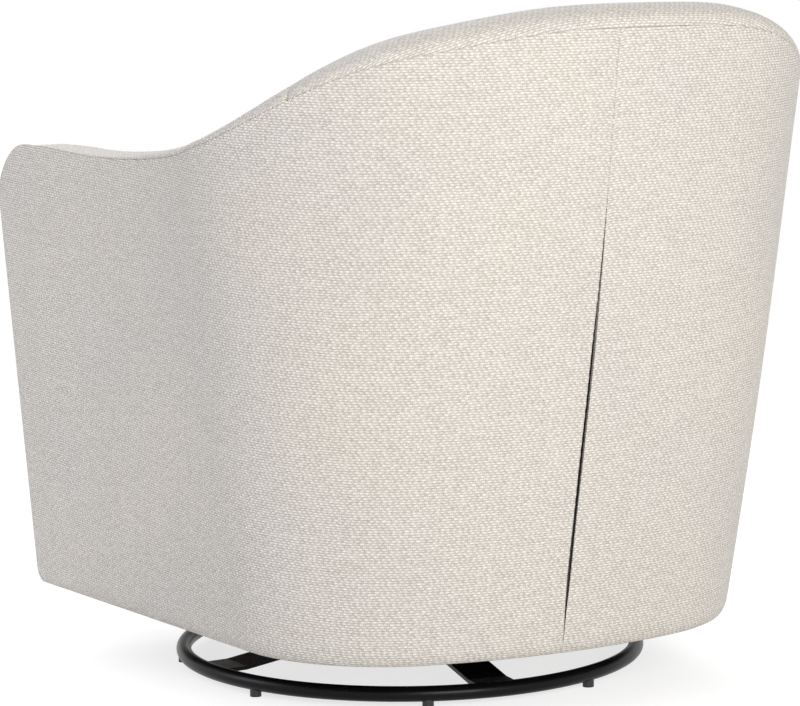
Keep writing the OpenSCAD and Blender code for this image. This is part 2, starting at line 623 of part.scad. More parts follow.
// Swivel bearing on the hub
race_r = 40;
race_in_r = 24;
race_t = 3;
ball_n = 16;
track_deep = 0.8;
ball_d = bearing_h - 2 * race_t + 2 * track_deep;
track_r = (race_r + race_in_r) / 2;
module race(z, up) color("silver") translate([0, axis_y, z]) difference() {
    cylinder(r = race_r, h = race_t, $fn = 64);
    translate([0, 0, -cut]) cylinder(r = race_in_r, h = race_t + 2 * cut, $fn = 64);
    translate([0, 0, up ? race_t + ball_d / 2 - track_deep : -ball_d / 2 + track_deep])
        rotate_extrude($fn = 64) translate([track_r, 0]) circle(r = ball_d / 2 + run_gap, $fn = 32);
}
module lower_race() race(hub_z, true);
module upper_race() race(plate_z - race_t, false);
module bearing_balls() color("gainsboro")
    for (i = [0:ball_n - 1]) translate([0, axis_y, hub_z + bearing_h / 2])
        rotate([0, 0, 360 * i / ball_n]) translate([track_r, 0, 0]) sphere(d = ball_d, $fn = 24);
cage_t = 2;
cage_edge = 2;
cage_z = hub_z + bearing_h / 2 - cage_t / 2;
module ball_cage() color("goldenrod") translate([0, axis_y, cage_z]) difference() {
    cylinder(r = race_r - cage_edge, h = cage_t, $fn = 64);
    translate([0, 0, -cut]) cylinder(r = race_in_r + cage_edge, h = cage_t + 2 * cut, $fn = 64);
    for (i = [0:ball_n - 1]) rotate([0, 0, 360 * i / ball_n]) translate([track_r, 0, -cut])
        cylinder(r = ball_d / 2 + run_gap, h = cage_t + 2 * cut, $fn = 32);
}

// Base on the floor
king_head_d = 28;
king_head_h = 7;
nut_h = 10;
washer_t = 2;
washer_over = 6;
thread_over = 3;
hub_t = 5;
module at_base() translate([0, axis_y, 0]) rotate([0, 0, base_turn]) children();
module king_pin() color("silver") translate([0, axis_y, hub_z - hub_t - king_head_h]) {
    cylinder(d = king_head_d, h = king_head_h, $fn = 6);
    cylinder(d = king_d, h = king_head_h + hub_t + bearing_h + plate_t + washer_t + nut_h + thread_over,
        $fn = 64);
}
module king_nut() color("silver") translate([0, axis_y, plate_z + plate_t + clip_gap]) difference() {
    union() {
        cylinder(d = king_head_d + washer_over, h = washer_t, $fn = 48);
        translate([0, 0, washer_t]) cylinder(d = king_head_d, h = nut_h, $fn = 6);
    }
    translate([0, 0, -cut]) cylinder(r = king_d / 2 + fix_gap, h = washer_t + nut_h + 2 * cut, $fn = 64);
}
module hub_plate() color("black") translate([0, axis_y, hub_z - hub_t]) difference() {
    cylinder(d = hub_d, h = hub_t, $fn = 96);
    translate([0, 0, -cut]) cylinder(r = king_d / 2 + fix_gap, h = hub_t + 2 * cut, $fn = 64);
}
module ring_shape() translate([0, 0, ring_z]) rotate_extrude($fn = 128)
    translate([ring_r, 0]) circle(d = tube_d, $fn = 48);
module base_ring() color("black") at_base() ring_shape();
arm_in_r = 30;
arm_flat_over = 6;
arm_foot_l = 26;
arm_end_share = 0.45;
arm_flat_r = hub_d / 2 + arm_flat_over;
bend_r = ring_r - tube_r - arm_foot_l;
arm_top_z = hub_z - hub_t;
arm_end_z = ring_z + tube_r * arm_end_share;
module base_arm() difference() {
    translate([0, arm_w / 2, 0]) rotate([90, 0, 0]) linear_extrude(arm_w) polygon([
        [arm_in_r, arm_top_z - arm_t], [arm_flat_r, arm_top_z - arm_t], [bend_r, arm_end_z - arm_t / 2],
        [ring_r, arm_end_z - arm_t / 2], [ring_r, arm_end_z + arm_t / 2], [bend_r, arm_end_z + arm_t / 2],
        [arm_flat_r, arm_top_z], [arm_in_r, arm_top_z]]);
    ring_shape();
}
module base_arms() color("black") at_base()
    for (a = [arm_half_angle, -arm_half_angle, 180 + arm_half_angle, 180 - arm_half_angle])
        rotate([0, 0, a]) base_arm();
glide_n = 8;
module base_glides() color("black") at_base()
    for (i = [0:glide_n - 1]) rotate([0, 0, 360 / glide_n * (i + 0.5)]) difference() {
        translate([ring_r, 0, 0]) cylinder(d = glide_d, h = glide_h + tube_r / 2, $fn = 32);
        ring_shape();
    }

base_ring();
base_arms();
hub_plate();
base_glides();
king_pin();
king_nut();
lower_race();
bearing_balls();
ball_cage();
upper_race();
swivel_plate();
channel_front();
channel_rear();
plate_bolts();
hanger_left();
hanger_right();
upper_pins();
stop_pins();
rubber_stops();
link_front_left();
link_rear_left();
link_front_right();
link_rear_right();
bushes_front_left();
bushes_rear_left();
bushes_front_right();
bushes_rear_right();
glide_rails();
lower_pins();
rail_bolts();
cross_rail_front();
cross_rail_rear();
bottom_rail();
seat_rail();
top_rail();
frame_posts();
arm_boards();
front_rail();
corner_blocks();
seat_springs();
spring_clips();
seat_deck();
dust_cover();
outside_left();
outside_right();
zip_tape();
inside_left();
inside_back();
inside_right();
arm_front_left();
arm_front_right();
front_cover();
seat_cushion();
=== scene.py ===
import bpy
import math
import numpy as np
from mathutils import Matrix, Vector


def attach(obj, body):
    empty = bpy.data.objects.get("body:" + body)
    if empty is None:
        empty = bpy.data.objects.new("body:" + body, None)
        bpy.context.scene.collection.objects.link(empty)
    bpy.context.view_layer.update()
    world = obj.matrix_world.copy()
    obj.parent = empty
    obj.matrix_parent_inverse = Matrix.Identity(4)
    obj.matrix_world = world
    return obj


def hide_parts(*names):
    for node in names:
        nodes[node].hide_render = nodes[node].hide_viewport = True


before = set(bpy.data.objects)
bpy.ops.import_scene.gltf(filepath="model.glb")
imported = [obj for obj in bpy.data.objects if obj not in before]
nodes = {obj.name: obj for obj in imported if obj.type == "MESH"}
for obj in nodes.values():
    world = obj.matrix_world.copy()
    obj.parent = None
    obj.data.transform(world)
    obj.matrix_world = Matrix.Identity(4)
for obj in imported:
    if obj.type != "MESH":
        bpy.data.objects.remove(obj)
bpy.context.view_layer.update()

scene = bpy.context.scene

# The padded wall, measured on its outline from the middle of the back, in metres and degrees.
# +X is the sitter's left, -Y the front.
shell = {
    "backRadius": 0.670, "backTurn": 14.7, "cornerRadius": 0.200, "sideTurn": 85.0, "sideLength": 0.535,
    "backY": 0.3016, "axisIn": 0.387,  # the swivel's axis lies that far in front of the back
    "footZ": 0.0755, "footIn": 0.006, "footHeight": 0.020,
    "backLean": 9.6, "sideLean": 4.8, "leanFrom": 0.10, "leanTo": 0.62,
    "backSeamZ": 0.815, "armSeamZ": 0.647, "fallLength": 0.315, "fallPower": 5.0, "crown": 0.15,
    "cornerAlong": 0.100, "cornerDrop": 0.115,
    "backRoll": 0.026, "armRoll": 0.004, "rollFall": 0.378, "insideRoll": 0.038,
    "backThick": 0.088, "armThick": 0.102, "padSwell": 0.012, "deckZ": 0.318, "deckLow": 0.292,
    "edgeRound": 0.016, "innerSeamAt": 0.2914,
}
axisY = shell["backY"] - shell["axisIn"]
arcLength = shell["backRadius"] * math.radians(shell["backTurn"])
sideStart = arcLength + shell["cornerRadius"] * math.radians(shell["sideTurn"] - shell["backTurn"])
endS = sideStart + shell["sideLength"]


# Shape of the wall: every function takes whole arrays

# 0 below 0, 1 above 1, and a smooth S between them
def smooth(t):
    t = np.clip(t, 0.0, 1.0)
    return t * t * (3.0 - 2.0 * t)


# Direction of the outline's outside at the distance t from the middle of the back: it turns slowly along the
# back's arc, faster round the corner, and then stays
def turnAt(t):
    back = t / shell["backRadius"]
    corner = math.radians(shell["backTurn"]) + (t - arcLength) / shell["cornerRadius"]
    return np.where(t < arcLength, back, np.minimum(corner, math.radians(shell["sideTurn"])))


# Point of the outline on the floor: two arcs that share a tangent, then a straight side
def planAt(t):
    turn, back = math.radians(shell["backTurn"]), shell["backRadius"]
    r, end = shell["cornerRadius"], math.radians(shell["sideTurn"])
    cx, cy = (back - r) * math.sin(turn), shell["backY"] - back + (back - r) * math.cos(turn)
    a = turnAt(t)
    along = np.maximum(t - sideStart, 0.0)
    x = np.where(t < arcLength, back * np.sin(a), cx + r * np.sin(a) + along * math.cos(end))
    y = np.where(t < arcLength, shell["backY"] - back + back * np.cos(a),
                 cy + r * np.cos(a) - along * math.sin(end))
    return x, y


def armPart(t):
    return smooth((t / endS - shell["leanFrom"]) / (shell["leanTo"] - shell["leanFrom"]))


def leanAt(t):
    k = armPart(t)
    return math.tan(math.radians(shell["backLean"])) * (1 - k) + math.tan(math.radians(shell["sideLean"])) * k


def thickAt(t):
    k = armPart(t)
    return shell["backThick"] * (1 - k) + shell["armThick"] * k


# How the sewn cover departs from the even curve: places along the wall, and heights in metres
sewn = {
    "crownLeft": 0.0066, "crownLeftAt": 0.150, "crownLeftWide": 0.075,
    "crownRight": 0.0060, "crownRightAt": -0.205, "crownRightWide": 0.090,
    "fallDip": 0.0028, "fallDipAt": 0.40, "fallDipWide": 0.075,
    "armRise": 0.0082, "riseFrom": 0.61, "riseTo": 0.82, "riseEase": 0.5, "easeFrom": 0.86, "easeWide": 0.07,
    "rollUp": 0.0030, "rollUpAt": 0.48, "rollUpWide": 0.08,
    "rollDown": 0.0068, "rollDownFrom": 0.60, "rollDownWide": 0.16,
}


# Bell of height 1 over a place on the wall
def bell(t, at, wide):
    return np.exp(-((t - at) / wide) ** 2)


# Height of the outside seam: the crowned back falls to the arm's height, and a quarter ellipse ends it. The
# sewn cover adds a hump and two dips, which are bells, and a rise along the arm that eases off at the front.
def seamAt(s):
    t = np.abs(s)
    u = np.clip((t - endS) / shell["cornerAlong"] + 1, 0.0, 1.0)
    drop = shell["cornerDrop"] * (1 - np.sqrt(1 - u ** 2))
    far = t / shell["fallLength"]
    share = 1 / (1 + shell["crown"] * far ** 2 + far ** shell["fallPower"])
    crown = sewn["crownRight"] * bell(s, sewn["crownRightAt"], sewn["crownRightWide"])
    crown = crown - sewn["crownLeft"] * bell(s, sewn["crownLeftAt"], sewn["crownLeftWide"])
    dip = sewn["fallDip"] * bell(t, sewn["fallDipAt"], sewn["fallDipWide"])
    rise = sewn["armRise"] * smooth((t - sewn["riseFrom"]) / (sewn["riseTo"] - sewn["riseFrom"]))
    rise = rise * (1 - sewn["riseEase"] * smooth((t - sewn["easeFrom"]) / sewn["easeWide"]))
    even = shell["armSeamZ"] - drop + (shell["backSeamZ"] - shell["armSeamZ"]) * share
    return even + crown - dip + rise


# Height of the roll over its seam, which falls from the back to the arm
def rollAt(s):
    t = np.abs(s)
    even = shell["armRoll"] + (shell["backRoll"] - shell["armRoll"]) / (1 + (t / shell["rollFall"]) ** 4)
    full = sewn["rollUp"] * bell(t, sewn["rollUpAt"], sewn["rollUpWide"])
    return even + full - sewn["rollDown"] * smooth((t - sewn["rollDownFrom"]) / sewn["rollDownWide"])


# Point of the wall at s along it (negative on the sitter's right), height z and depth d from its outside:
# the outline's point, moved out by the lean times the height and in by the depth
def wallPoint(s, z, d):
    t = np.abs(s)
    x, y = planAt(t)
    a = turnAt(t)
    o = shell["footIn"] + leanAt(t) * (z - shell["footZ"]) - d
    x = (x + o * np.sin(a)) * np.where(s < 0, -1.0, 1.0)
    return np.stack(np.broadcast_arrays(x, y + o * np.cos(a), z), -1)


# Depth of the inside face: upright along the arms, and swollen between the roll and the deck
def insideDepth(s, z):
    t = np.abs(s)
    top = seamAt(s) + rollAt(s) - shell["insideRoll"]
    swell = shell["padSwell"] * np.sin(math.pi * np.clip((top - z) / (top - shell["deckZ"]), 0.0, 1.0))
    return thickAt(t) + armPart(t) * leanAt(t) * (z - top) + swell


# Meshes and pieces

# Mesh object of a grid of points (rows, columns, 3). A closed grid joins its last column to its first; capped
# rows are closed by one face each. The cloth map holds metres along the weave.
def gridPiece(name, points, cloth, closed=False, capped=False, looped=False, flip=False, crease=40.0):
    rows, cols = points.shape[:2]
    i = np.arange(rows if looped else rows - 1)
    j = np.arange(cols if closed else cols - 1)
    i, j = np.meshgrid(i, j, indexing="ij")
    k, n = (j + 1) % cols, (i + 1) % rows
    quads = np.stack([i * cols + j, i * cols + k, n * cols + k, n * cols + j], -1).reshape(-1, 4)
    faces = quads[:, ::-1].tolist() if flip else quads.tolist()
    if capped:
        ring = list(range(cols))
        far = [(rows - 1) * cols + v for v in ring]
        faces += [ring if flip else ring[::-1], far[::-1] if flip else far]
    return meshPiece(name, points.reshape(-1, 3), faces, cloth.reshape(-1, 2), crease)


def meshPiece(name, points, faces, cloth, crease=40.0):
    mesh = bpy.data.meshes.new(name)
    mesh.from_pydata(np.asarray(points, float).tolist(), [], faces)
    corners = np.zeros(len(mesh.loops), np.int32)
    mesh.loops.foreach_get("vertex_index", corners)
    layer = mesh.uv_layers.new(name="cloth")
    layer.data.foreach_set("uv", np.asarray(cloth, np.float32)[corners].ravel())
    mesh.polygons.foreach_set("use_smooth", np.ones(len(mesh.polygons), bool))
    mesh.set_sharp_from_angle(angle=math.radians(crease))
    mesh.update()
    piece = bpy.data.objects.new(name, mesh)
    scene.collection.objects.link(piece)
    return piece


def vertexPlaces(mesh):
    places = np.zeros(len(mesh.vertices) * 3)
    mesh.vertices.foreach_get("co", places)
    return places.reshape(-1, 3)


# Running length along the columns of a grid of (z, d) pairs, in metres
def lengthAlong(z, d):
    step = np.hypot(np.diff(z, axis=1), np.diff(d, axis=1))
    return np.concatenate([np.zeros((len(z), 1)), np.cumsum(step, axis=1)], axis=1)


# Running length from row to row of a grid of points, in metres
def lengthAcross(points):
    step = np.linalg.norm(np.diff(points, axis=0), axis=-1)
    return np.concatenate([np.zeros((1,) + step.shape[1:]), np.cumsum(step, axis=0)])


def paint(piece, material):
    piece.data.materials.clear()
    piece.data.materials.append(material)


def dress(piece, material, body, slot, *replaced):
    paint(piece, material)
    if replaced:
        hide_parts(*replaced)
    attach(piece, body)
    return piece


# Materials

def newMaterial(name, **constants):
    material = bpy.data.materials.new(name)
    material.use_nodes = True
    shader = material.node_tree.nodes["Principled BSDF"]
    for key, value in constants.items():
        shader.inputs[key].default_value = value
    return material, material.node_tree, shader


def node(tree, kind, inputs=None, **settings):
    made = tree.nodes.new(kind)
    for key, value in settings.items():
        setattr(made, key, value)
    for key, value in (inputs or {}).items():
        if isinstance(value, bpy.types.NodeSocket):
            tree.links.new(value, made.inputs[key])
        else:
            made.inputs[key].default_value = value
    return made


def calc(tree, operation, a, b=0.0, c=0.0, clamp=False):
    return node(tree, "ShaderNodeMath", {0: a, 1: b, 2: c}, operation=operation, use_clamp=clamp).outputs[0]


def mixColor(tree, share, a, b, kind="MIX"):
    made = node(tree, "ShaderNodeMix", {0: share, 6: a, 7: b}, data_type="RGBA", blend_type=kind)
    return made.outputs[2]


def ramp(tree, value, low, high, toLow=0.0, toHigh=1.0):
    made = node(tree, "ShaderNodeMapRange", {0: value, 1: low, 2: high, 3: toLow, 4: toHigh})
    return made.outputs[0]


def noise(tree, vector, scale, detail=3.0, rough=0.5):
    inputs = {"Vector": vector, "Scale": scale, "Detail": detail, "Roughness": rough}
    return node(tree, "ShaderNodeTexNoise", inputs)


def objectPlace(tree):
    return node(tree, "ShaderNodeTexCoord").outputs["Object"]


def scaled(tree, vector, scale, turn=0.0):
    return node(tree, "ShaderNodeMapping", {0: vector, 2: (0, 0, turn), 3: scale}).outputs[0]


# A value from 0 to 1 as a swing round nought
def swing(tree, value, size):
    return calc(tree, "MULTIPLY_ADD", value, size, -0.5 * size)


# A colour times a number, with something added to each part
def toned(color, times, more=0.0):
    return tuple(min(c * times + more, 1) for c in color[:3]) + (1,)


def bumped(tree, shader, height, distance, strength=1.0):
    bump = node(tree, "ShaderNodeBump", {"Height": height, "Distance": distance, "Strength": strength})
    tree.links.new(bump.outputs[0], shader.inputs["Normal"])


# Lengths in metres, the rest as shares
weaveLook = {
    "row": 0.00305, "repeat": 0.0140, "floatShare": 0.64, "shareChance": 0.12, "palerShare": 0.06,
    "height": 0.0008, "drift": 0.0018, "rowJump": 0.12, "warpHeight": 0.68,
    # dark is painted shade, the colour the yarns take down in the pits between them; light is the yarns' own
    # colour on their tops
    "light": (0.885, 0.842, 0.782, 1), "dark": (0.436, 0.396, 0.347, 1), "cooler": (0.965, 0.975, 1.0, 1),
    "fleck": 0.20, "slub": 0.15, "mottle": 0.68, "pattern": 0.10, "fibre": 0.16,
}


# Broken twill in four rows: their floats are shifted by 0, 3/8, 6/8 and 5/8 of a pitch, and every other float
# is paler, in the middle two rows by half as much. A float is a sine hump across its row and along its length,
# the crossing yarn is another in the gap between two, and the pits round them are dark with painted shade.
# Noise bends the yarns, and thickens them and varies their tone one by one.
def wovenCloth(name, look):
    material, tree, shader = newMaterial(
        name, **{"Roughness": 0.9, "Sheen Weight": 0.25, "Sheen Roughness": 0.45, "Specular IOR Level": 0.2})
    cloth = node(tree, "ShaderNodeUVMap", uv_map="cloth").outputs[0]
    place = node(tree, "ShaderNodeSeparateXYZ", {0: cloth})
    bend = node(tree, "ShaderNodeSeparateXYZ", {0: noise(tree, cloth, 170.0, 1.0).outputs["Color"]})
    u = calc(tree, "MULTIPLY_ADD", bend.outputs[0], look["drift"], place.outputs[0])
    v = calc(tree, "MULTIPLY_ADD", bend.outputs[1], look["drift"] * 1.1, place.outputs[1])
    rows = calc(tree, "DIVIDE", v, look["row"])
    row = calc(tree, "FLOOR", rows)
    across = calc(tree, "SUBTRACT", rows, row)
    four = calc(tree, "FLOORED_MODULO", row, 4.0)
    jump = node(tree, "ShaderNodeTexWhiteNoise", {1: row}, noise_dimensions="1D").outputs[0]
    jump = calc(tree, "MULTIPLY", jump, look["rowJump"])
    back = calc(tree, "MULTIPLY_ADD", calc(tree, "GREATER_THAN", four, 2.5), -0.5, jump)
    shift = calc(tree, "MULTIPLY_ADD", four, 0.375, back)
    pitches = calc(tree, "MULTIPLY_ADD", u, 2.0 / look["repeat"], shift)
    pick = calc(tree, "FLOOR", pitches)
    along = calc(tree, "SUBTRACT", pitches, pick)
    cell = node(tree, "ShaderNodeCombineXYZ", {0: pick, 1: row}).outputs[0]
    chance = node(tree, "ShaderNodeSeparateXYZ", {
        0: node(tree, "ShaderNodeTexWhiteNoise", {0: cell}, noise_dimensions="3D").outputs["Color"]})
    inner = calc(tree, "COMPARE", four, 1.5, 0.6)
    odd = calc(tree, "FLOORED_MODULO", calc(tree, "ADD", pick, inner), 2.0)
    longer = look["palerShare"]
    share = calc(tree, "ADD", calc(tree, "MULTIPLY_ADD", odd, longer, look["floatShare"] - longer),
                 calc(tree, "MULTIPLY", chance.outputs[1], look["shareChance"]))
    part = calc(tree, "DIVIDE", along, share, clamp=True)
    arch = calc(tree, "MAXIMUM", calc(tree, "SINE", calc(tree, "MULTIPLY", part, math.pi)), 0.0)
    belly = calc(tree, "MAXIMUM", calc(tree, "SINE", calc(tree, "MULTIPLY", across, math.pi)), 0.0)
    weft = calc(tree, "MULTIPLY", calc(tree, "MULTIPLY_ADD", calc(tree, "POWER", arch, 0.5), 0.6, 0.4),
                calc(tree, "POWER", belly, 0.62))
    rest = calc(tree, "SUBTRACT", 1.0, share)
    gap = calc(tree, "DIVIDE", calc(tree, "SUBTRACT", along, share), rest, clamp=True)
    cross = calc(tree, "MAXIMUM", calc(tree, "SINE", calc(tree, "MULTIPLY", gap, math.pi)), 0.0)
    warp = calc(tree, "MULTIPLY", calc(tree, "MULTIPLY", calc(tree, "POWER", cross, 0.6), look["warpHeight"]),
                calc(tree, "POWER", belly, 0.45))
    high = calc(tree, "MAXIMUM", weft, warp)
    slub = noise(tree, scaled(tree, cloth, (13.0, 290.0, 1.0)), 1.0, 1.0).outputs[0]
    mottle = noise(tree, cloth, 260.0, 2.0, 0.6).outputs[0]
    fibre = noise(tree, scaled(tree, cloth, (700.0, 4200.0, 1.0), 0.35), 1.0, 2.0).outputs[0]
    broad = noise(tree, cloth, 4.0, 2.0).outputs[0]
    strength = calc(tree, "MULTIPLY_ADD", inner, -0.5, 1.0)
    paler = calc(tree, "MULTIPLY", swing(tree, odd, look["pattern"]), strength)
    shade = swing(tree, chance.outputs[0], look["fleck"])
    for more in (swing(tree, slub, look["slub"]), swing(tree, mottle, look["mottle"]), paler,
                 swing(tree, fibre, look["fibre"])):
        shade = calc(tree, "ADD", shade, more)
    # Painted shade: by the yarns' height, the colour runs from dark in the low pits between them to light on
    # their tops
    tone = calc(tree, "ADD", calc(tree, "POWER", high, 1.1), shade, clamp=True)
    color = mixColor(tree, tone, look["dark"], look["light"])
    color = mixColor(tree, ramp(tree, broad, 0.35, 0.65), color, look["cooler"], "MULTIPLY")
    tree.links.new(color, shader.inputs["Base Color"])
    rough = calc(tree, "MULTIPLY_ADD", mottle, 0.3, calc(tree, "MULTIPLY", fibre, 0.25))
    relief = calc(tree, "MULTIPLY_ADD", high, calc(tree, "POWER", belly, 0.5), rough)
    bumped(tree, shader, relief, look["height"], 0.7)
    return material


# Powder coat: near black, with orange peel in its height and a slow change of roughness
def powderCoat(name, color, rough, peel=0.00004):
    material, tree, shader = newMaterial(name, **{"Metallic": 0.0, "Specular IOR Level": 0.14})
    place = objectPlace(tree)
    slow, fine = noise(tree, place, 14.0).outputs[0], noise(tree, place, 420.0, 1.0).outputs[0]
    tree.links.new(ramp(tree, slow, 0.3, 0.7, rough * 0.85, rough * 1.15), shader.inputs["Roughness"])
    tree.links.new(mixColor(tree, slow, color, toned(color, 1.5)), shader.inputs["Base Color"])
    bumped(tree, shader, fine, peel)
    return material


# Bare metal: fine brushed streaks along one axis, and duller spots where it has been handled
def bareMetal(name, color, rough, metallic=1.0):
    material, tree, shader = newMaterial(name, **{"Metallic": metallic})
    place = objectPlace(tree)
    streak = noise(tree, scaled(tree, place, (900.0, 60.0, 900.0)), 1.0).outputs[0]
    spot = noise(tree, place, 30.0, 5.0).outputs[0]
    tree.links.new(ramp(tree, spot, 0.3, 0.75, rough * 0.8, rough * 1.5), shader.inputs["Roughness"])
    dull = mixColor(tree, ramp(tree, spot, 0.45, 0.7), color, toned(color, 0.72))
    tree.links.new(dull, shader.inputs["Base Color"])
    bumped(tree, shader, streak, 0.00003)
    return material


# Sawn timber: rings round a long axis, stretched noise for the grain, and darker pores
def sawnTimber(name, stretch):
    material, tree, shader = newMaterial(name, **{"Roughness": 0.72, "Specular IOR Level": 0.3})
    place = objectPlace(tree)
    laid = scaled(tree, place, stretch)
    rings = {"Vector": laid, "Scale": 1.0, "Distortion": 5.0, "Detail": 3.0}
    bands = node(tree, "ShaderNodeTexWave", rings).outputs[1]
    pores = noise(tree, laid, 9.0, 6.0, 0.7).outputs[0]
    base = mixColor(tree, bands, (0.52, 0.36, 0.21, 1), (0.66, 0.49, 0.31, 1))
    color = mixColor(tree, ramp(tree, pores, 0.52, 0.70, 0.0, 0.55), base, (0.33, 0.21, 0.11, 1))
    tree.links.new(color, shader.inputs["Base Color"])
    bumped(tree, shader, pores, 0.0003)
    return material


# Matt moulded rubber or plastic with a fine grain
def moulded(name, color, rough, grain=0.00005):
    material, tree, shader = newMaterial(name, **{"Specular IOR Level": 0.4})
    place = objectPlace(tree)
    fine, slow = noise(tree, place, 900.0, 2.0).outputs[0], noise(tree, place, 25.0).outputs[0]
    tree.links.new(mixColor(tree, slow, color, toned(color, 1.3, 0.01)), shader.inputs["Base Color"])
    tree.links.new(ramp(tree, slow, 0.3, 0.7, rough * 0.85, rough * 1.1), shader.inputs["Roughness"])
    bumped(tree, shader, fine, grain)
    return material


# Pressed non-woven cloth: a dimpled felt with fibres
def feltCloth(name, color, dimple=0.0028):
    material, tree, shader = newMaterial(
        name, **{"Roughness": 0.95, "Sheen Weight": 0.1, "Specular IOR Level": 0.15})
    place = objectPlace(tree)
    cells = node(tree, "ShaderNodeTexVoronoi", {"Vector": place, "Scale": 1.0 / dimple}).outputs[0]
    fibre = noise(tree, place, 1100.0, 2.0).outputs[0]
    broad = noise(tree, place, 7.0).outputs[0]
    tone = mixColor(tree, calc(tree, "MULTIPLY", fibre, broad), color, toned(color, 1.7, 0.01))
    tree.links.new(tone, shader.inputs["Base Color"])
    bumped(tree, shader, calc(tree, "ADD", cells, calc(tree, "MULTIPLY", fibre, 0.4)), 0.0003)
    return material


linen = wovenCloth("oatmealWeave", weaveLook)
blackCoat = powderCoat("blackPowderCoat", (0.0035, 0.0035, 0.004, 1), 0.30)
darkSteel = bareMetal("darkSteel", (0.20, 0.20, 0.21, 1), 0.42)
bareSteel = bareMetal("zincSteel", (0.62, 0.62, 0.60, 1), 0.33)
springWire = bareMetal("springWire", (0.30, 0.29, 0.27, 1), 0.38)
brass = bareMetal("brassCage", (0.62, 0.45, 0.20, 1), 0.36)
rubber = moulded("blackRubber", (0.020, 0.020, 0.021, 1), 0.75)
nylon = moulded("naturalNylon", (0.74, 0.73, 0.68, 1), 0.45)
glidePlastic = moulded("glidePlastic", (0.018, 0.018, 0.019, 1), 0.42)
timberX = sawnTimber("timberAcross", (14.0, 150.0, 150.0))
timberZ = sawnTimber("timberUpright", (150.0, 150.0, 14.0))
darkFelt = feltCloth("blackUndercloth", (0.014, 0.014, 0.015, 1))
deckFelt = feltCloth("deckCloth", (0.35, 0.33, 0.30, 1), 0.004)
tapeBlack = feltCloth("zipTapeCloth", (0.010, 0.010, 0.011, 1), 0.0012)
print("materials made")

for names, material in (
        (("base_ring", "base_arms", "hub_plate", "swivel_plate", "channel_front", "channel_rear",
          "hanger_left", "hanger_right", "link_front_left", "link_rear_left", "link_front_right",
          "link_rear_right", "glide_rails"), blackCoat),
        (("king_pin", "king_nut", "plate_bolts", "upper_pins", "lower_pins", "stop_pins", "rail_bolts",
          "spring_clips"), bareSteel),
        (("lower_race", "upper_race", "bearing_balls"), darkSteel),
        (("seat_springs",), springWire), (("ball_cage",), brass), (("rubber_stops",), rubber),
        (("bushes_front_left", "bushes_rear_left", "bushes_front_right", "bushes_rear_right"), nylon),
        (("base_glides",), glidePlastic),
        (("cross_rail_front", "cross_rail_rear", "bottom_rail", "seat_rail", "top_rail", "front_rail",
          "corner_blocks"), timberX),
        (("frame_posts", "arm_boards"), timberZ)):
    for name in names:
        paint(nodes[name], material)
print("frame dressed")

# Outside covers: two halves that meet in a zipped closure at the middle of the back
cover = {"gap": 0.0021, "gapLow": 0.074, "slant": 0.0072, "gapHigh": 0.645, "lip": 0.036, "thick": 0.0032,
         "rows": 110, "columns": 210, "soft": 0.0009, "belly": 0.0035, "pucker": 0.0004,
         "puckerWave": 0.0115, "grain": 0.044, "grainFrom": 0.25, "flat": (1.136, 0.813), "area": 0.738}


# Half width of the slit at height z: open between two heights, nearly shut above and below
def slitHalf(z):
    wide = smooth((z - cover["gapLow"]) / 0.11) * smooth((cover["gapHigh"] - z) / 0.24) ** 0.8
    ragged = 1 + 0.07 * np.sin(z * 910) + 0.06 * np.sin(z * 1490 + 1.0)
    return 0.0001 + cover["gap"] * wide * ragged


# The slit's line pulls over to the sitter's left toward the foot
def slitMiddle(z):
    return cover["slant"] * smooth((0.62 - z) / 0.52)


# How far a quarter circle of radius r draws in, at the way past its start
def quarterInset(way, r):
    return r - np.sqrt(np.maximum(r ** 2 - np.clip(way, 0.0, r) ** 2, 0.0))


# Columns along the wall: even to the start of the front corner, then by the angle of the edge's quarter
# circle, and two more that turn back into the seam round the front panel. It returns their distance, inset and
# seam height.
def frontColumns(start, count, side):
    r = shell["edgeRound"]
    turn = np.linspace(0, math.pi / 2, 22)[1:]
    long = shell["cornerAlong"]
    corner = endS - long * (1 - np.sin(np.linspace(0, math.asin(1 - r / long), 9)))
    run = start + (endS - long - start) * np.linspace(0, 1, count)
    t = np.concatenate([run, corner[1:], endS - r + r * np.sin(turn)])
    inset = quarterInset(t - endS + r, r)
    height = seamAt(t * side) - inset
    t = np.concatenate([t, [endS - 0.0012, endS - 0.0040]])
    inset = np.concatenate([inset, [r + 0.0014, r + 0.0022]])
    height = np.concatenate([height, [height[-1] - 0.0014, height[-1] - 0.0022]])
    return t, inset, height


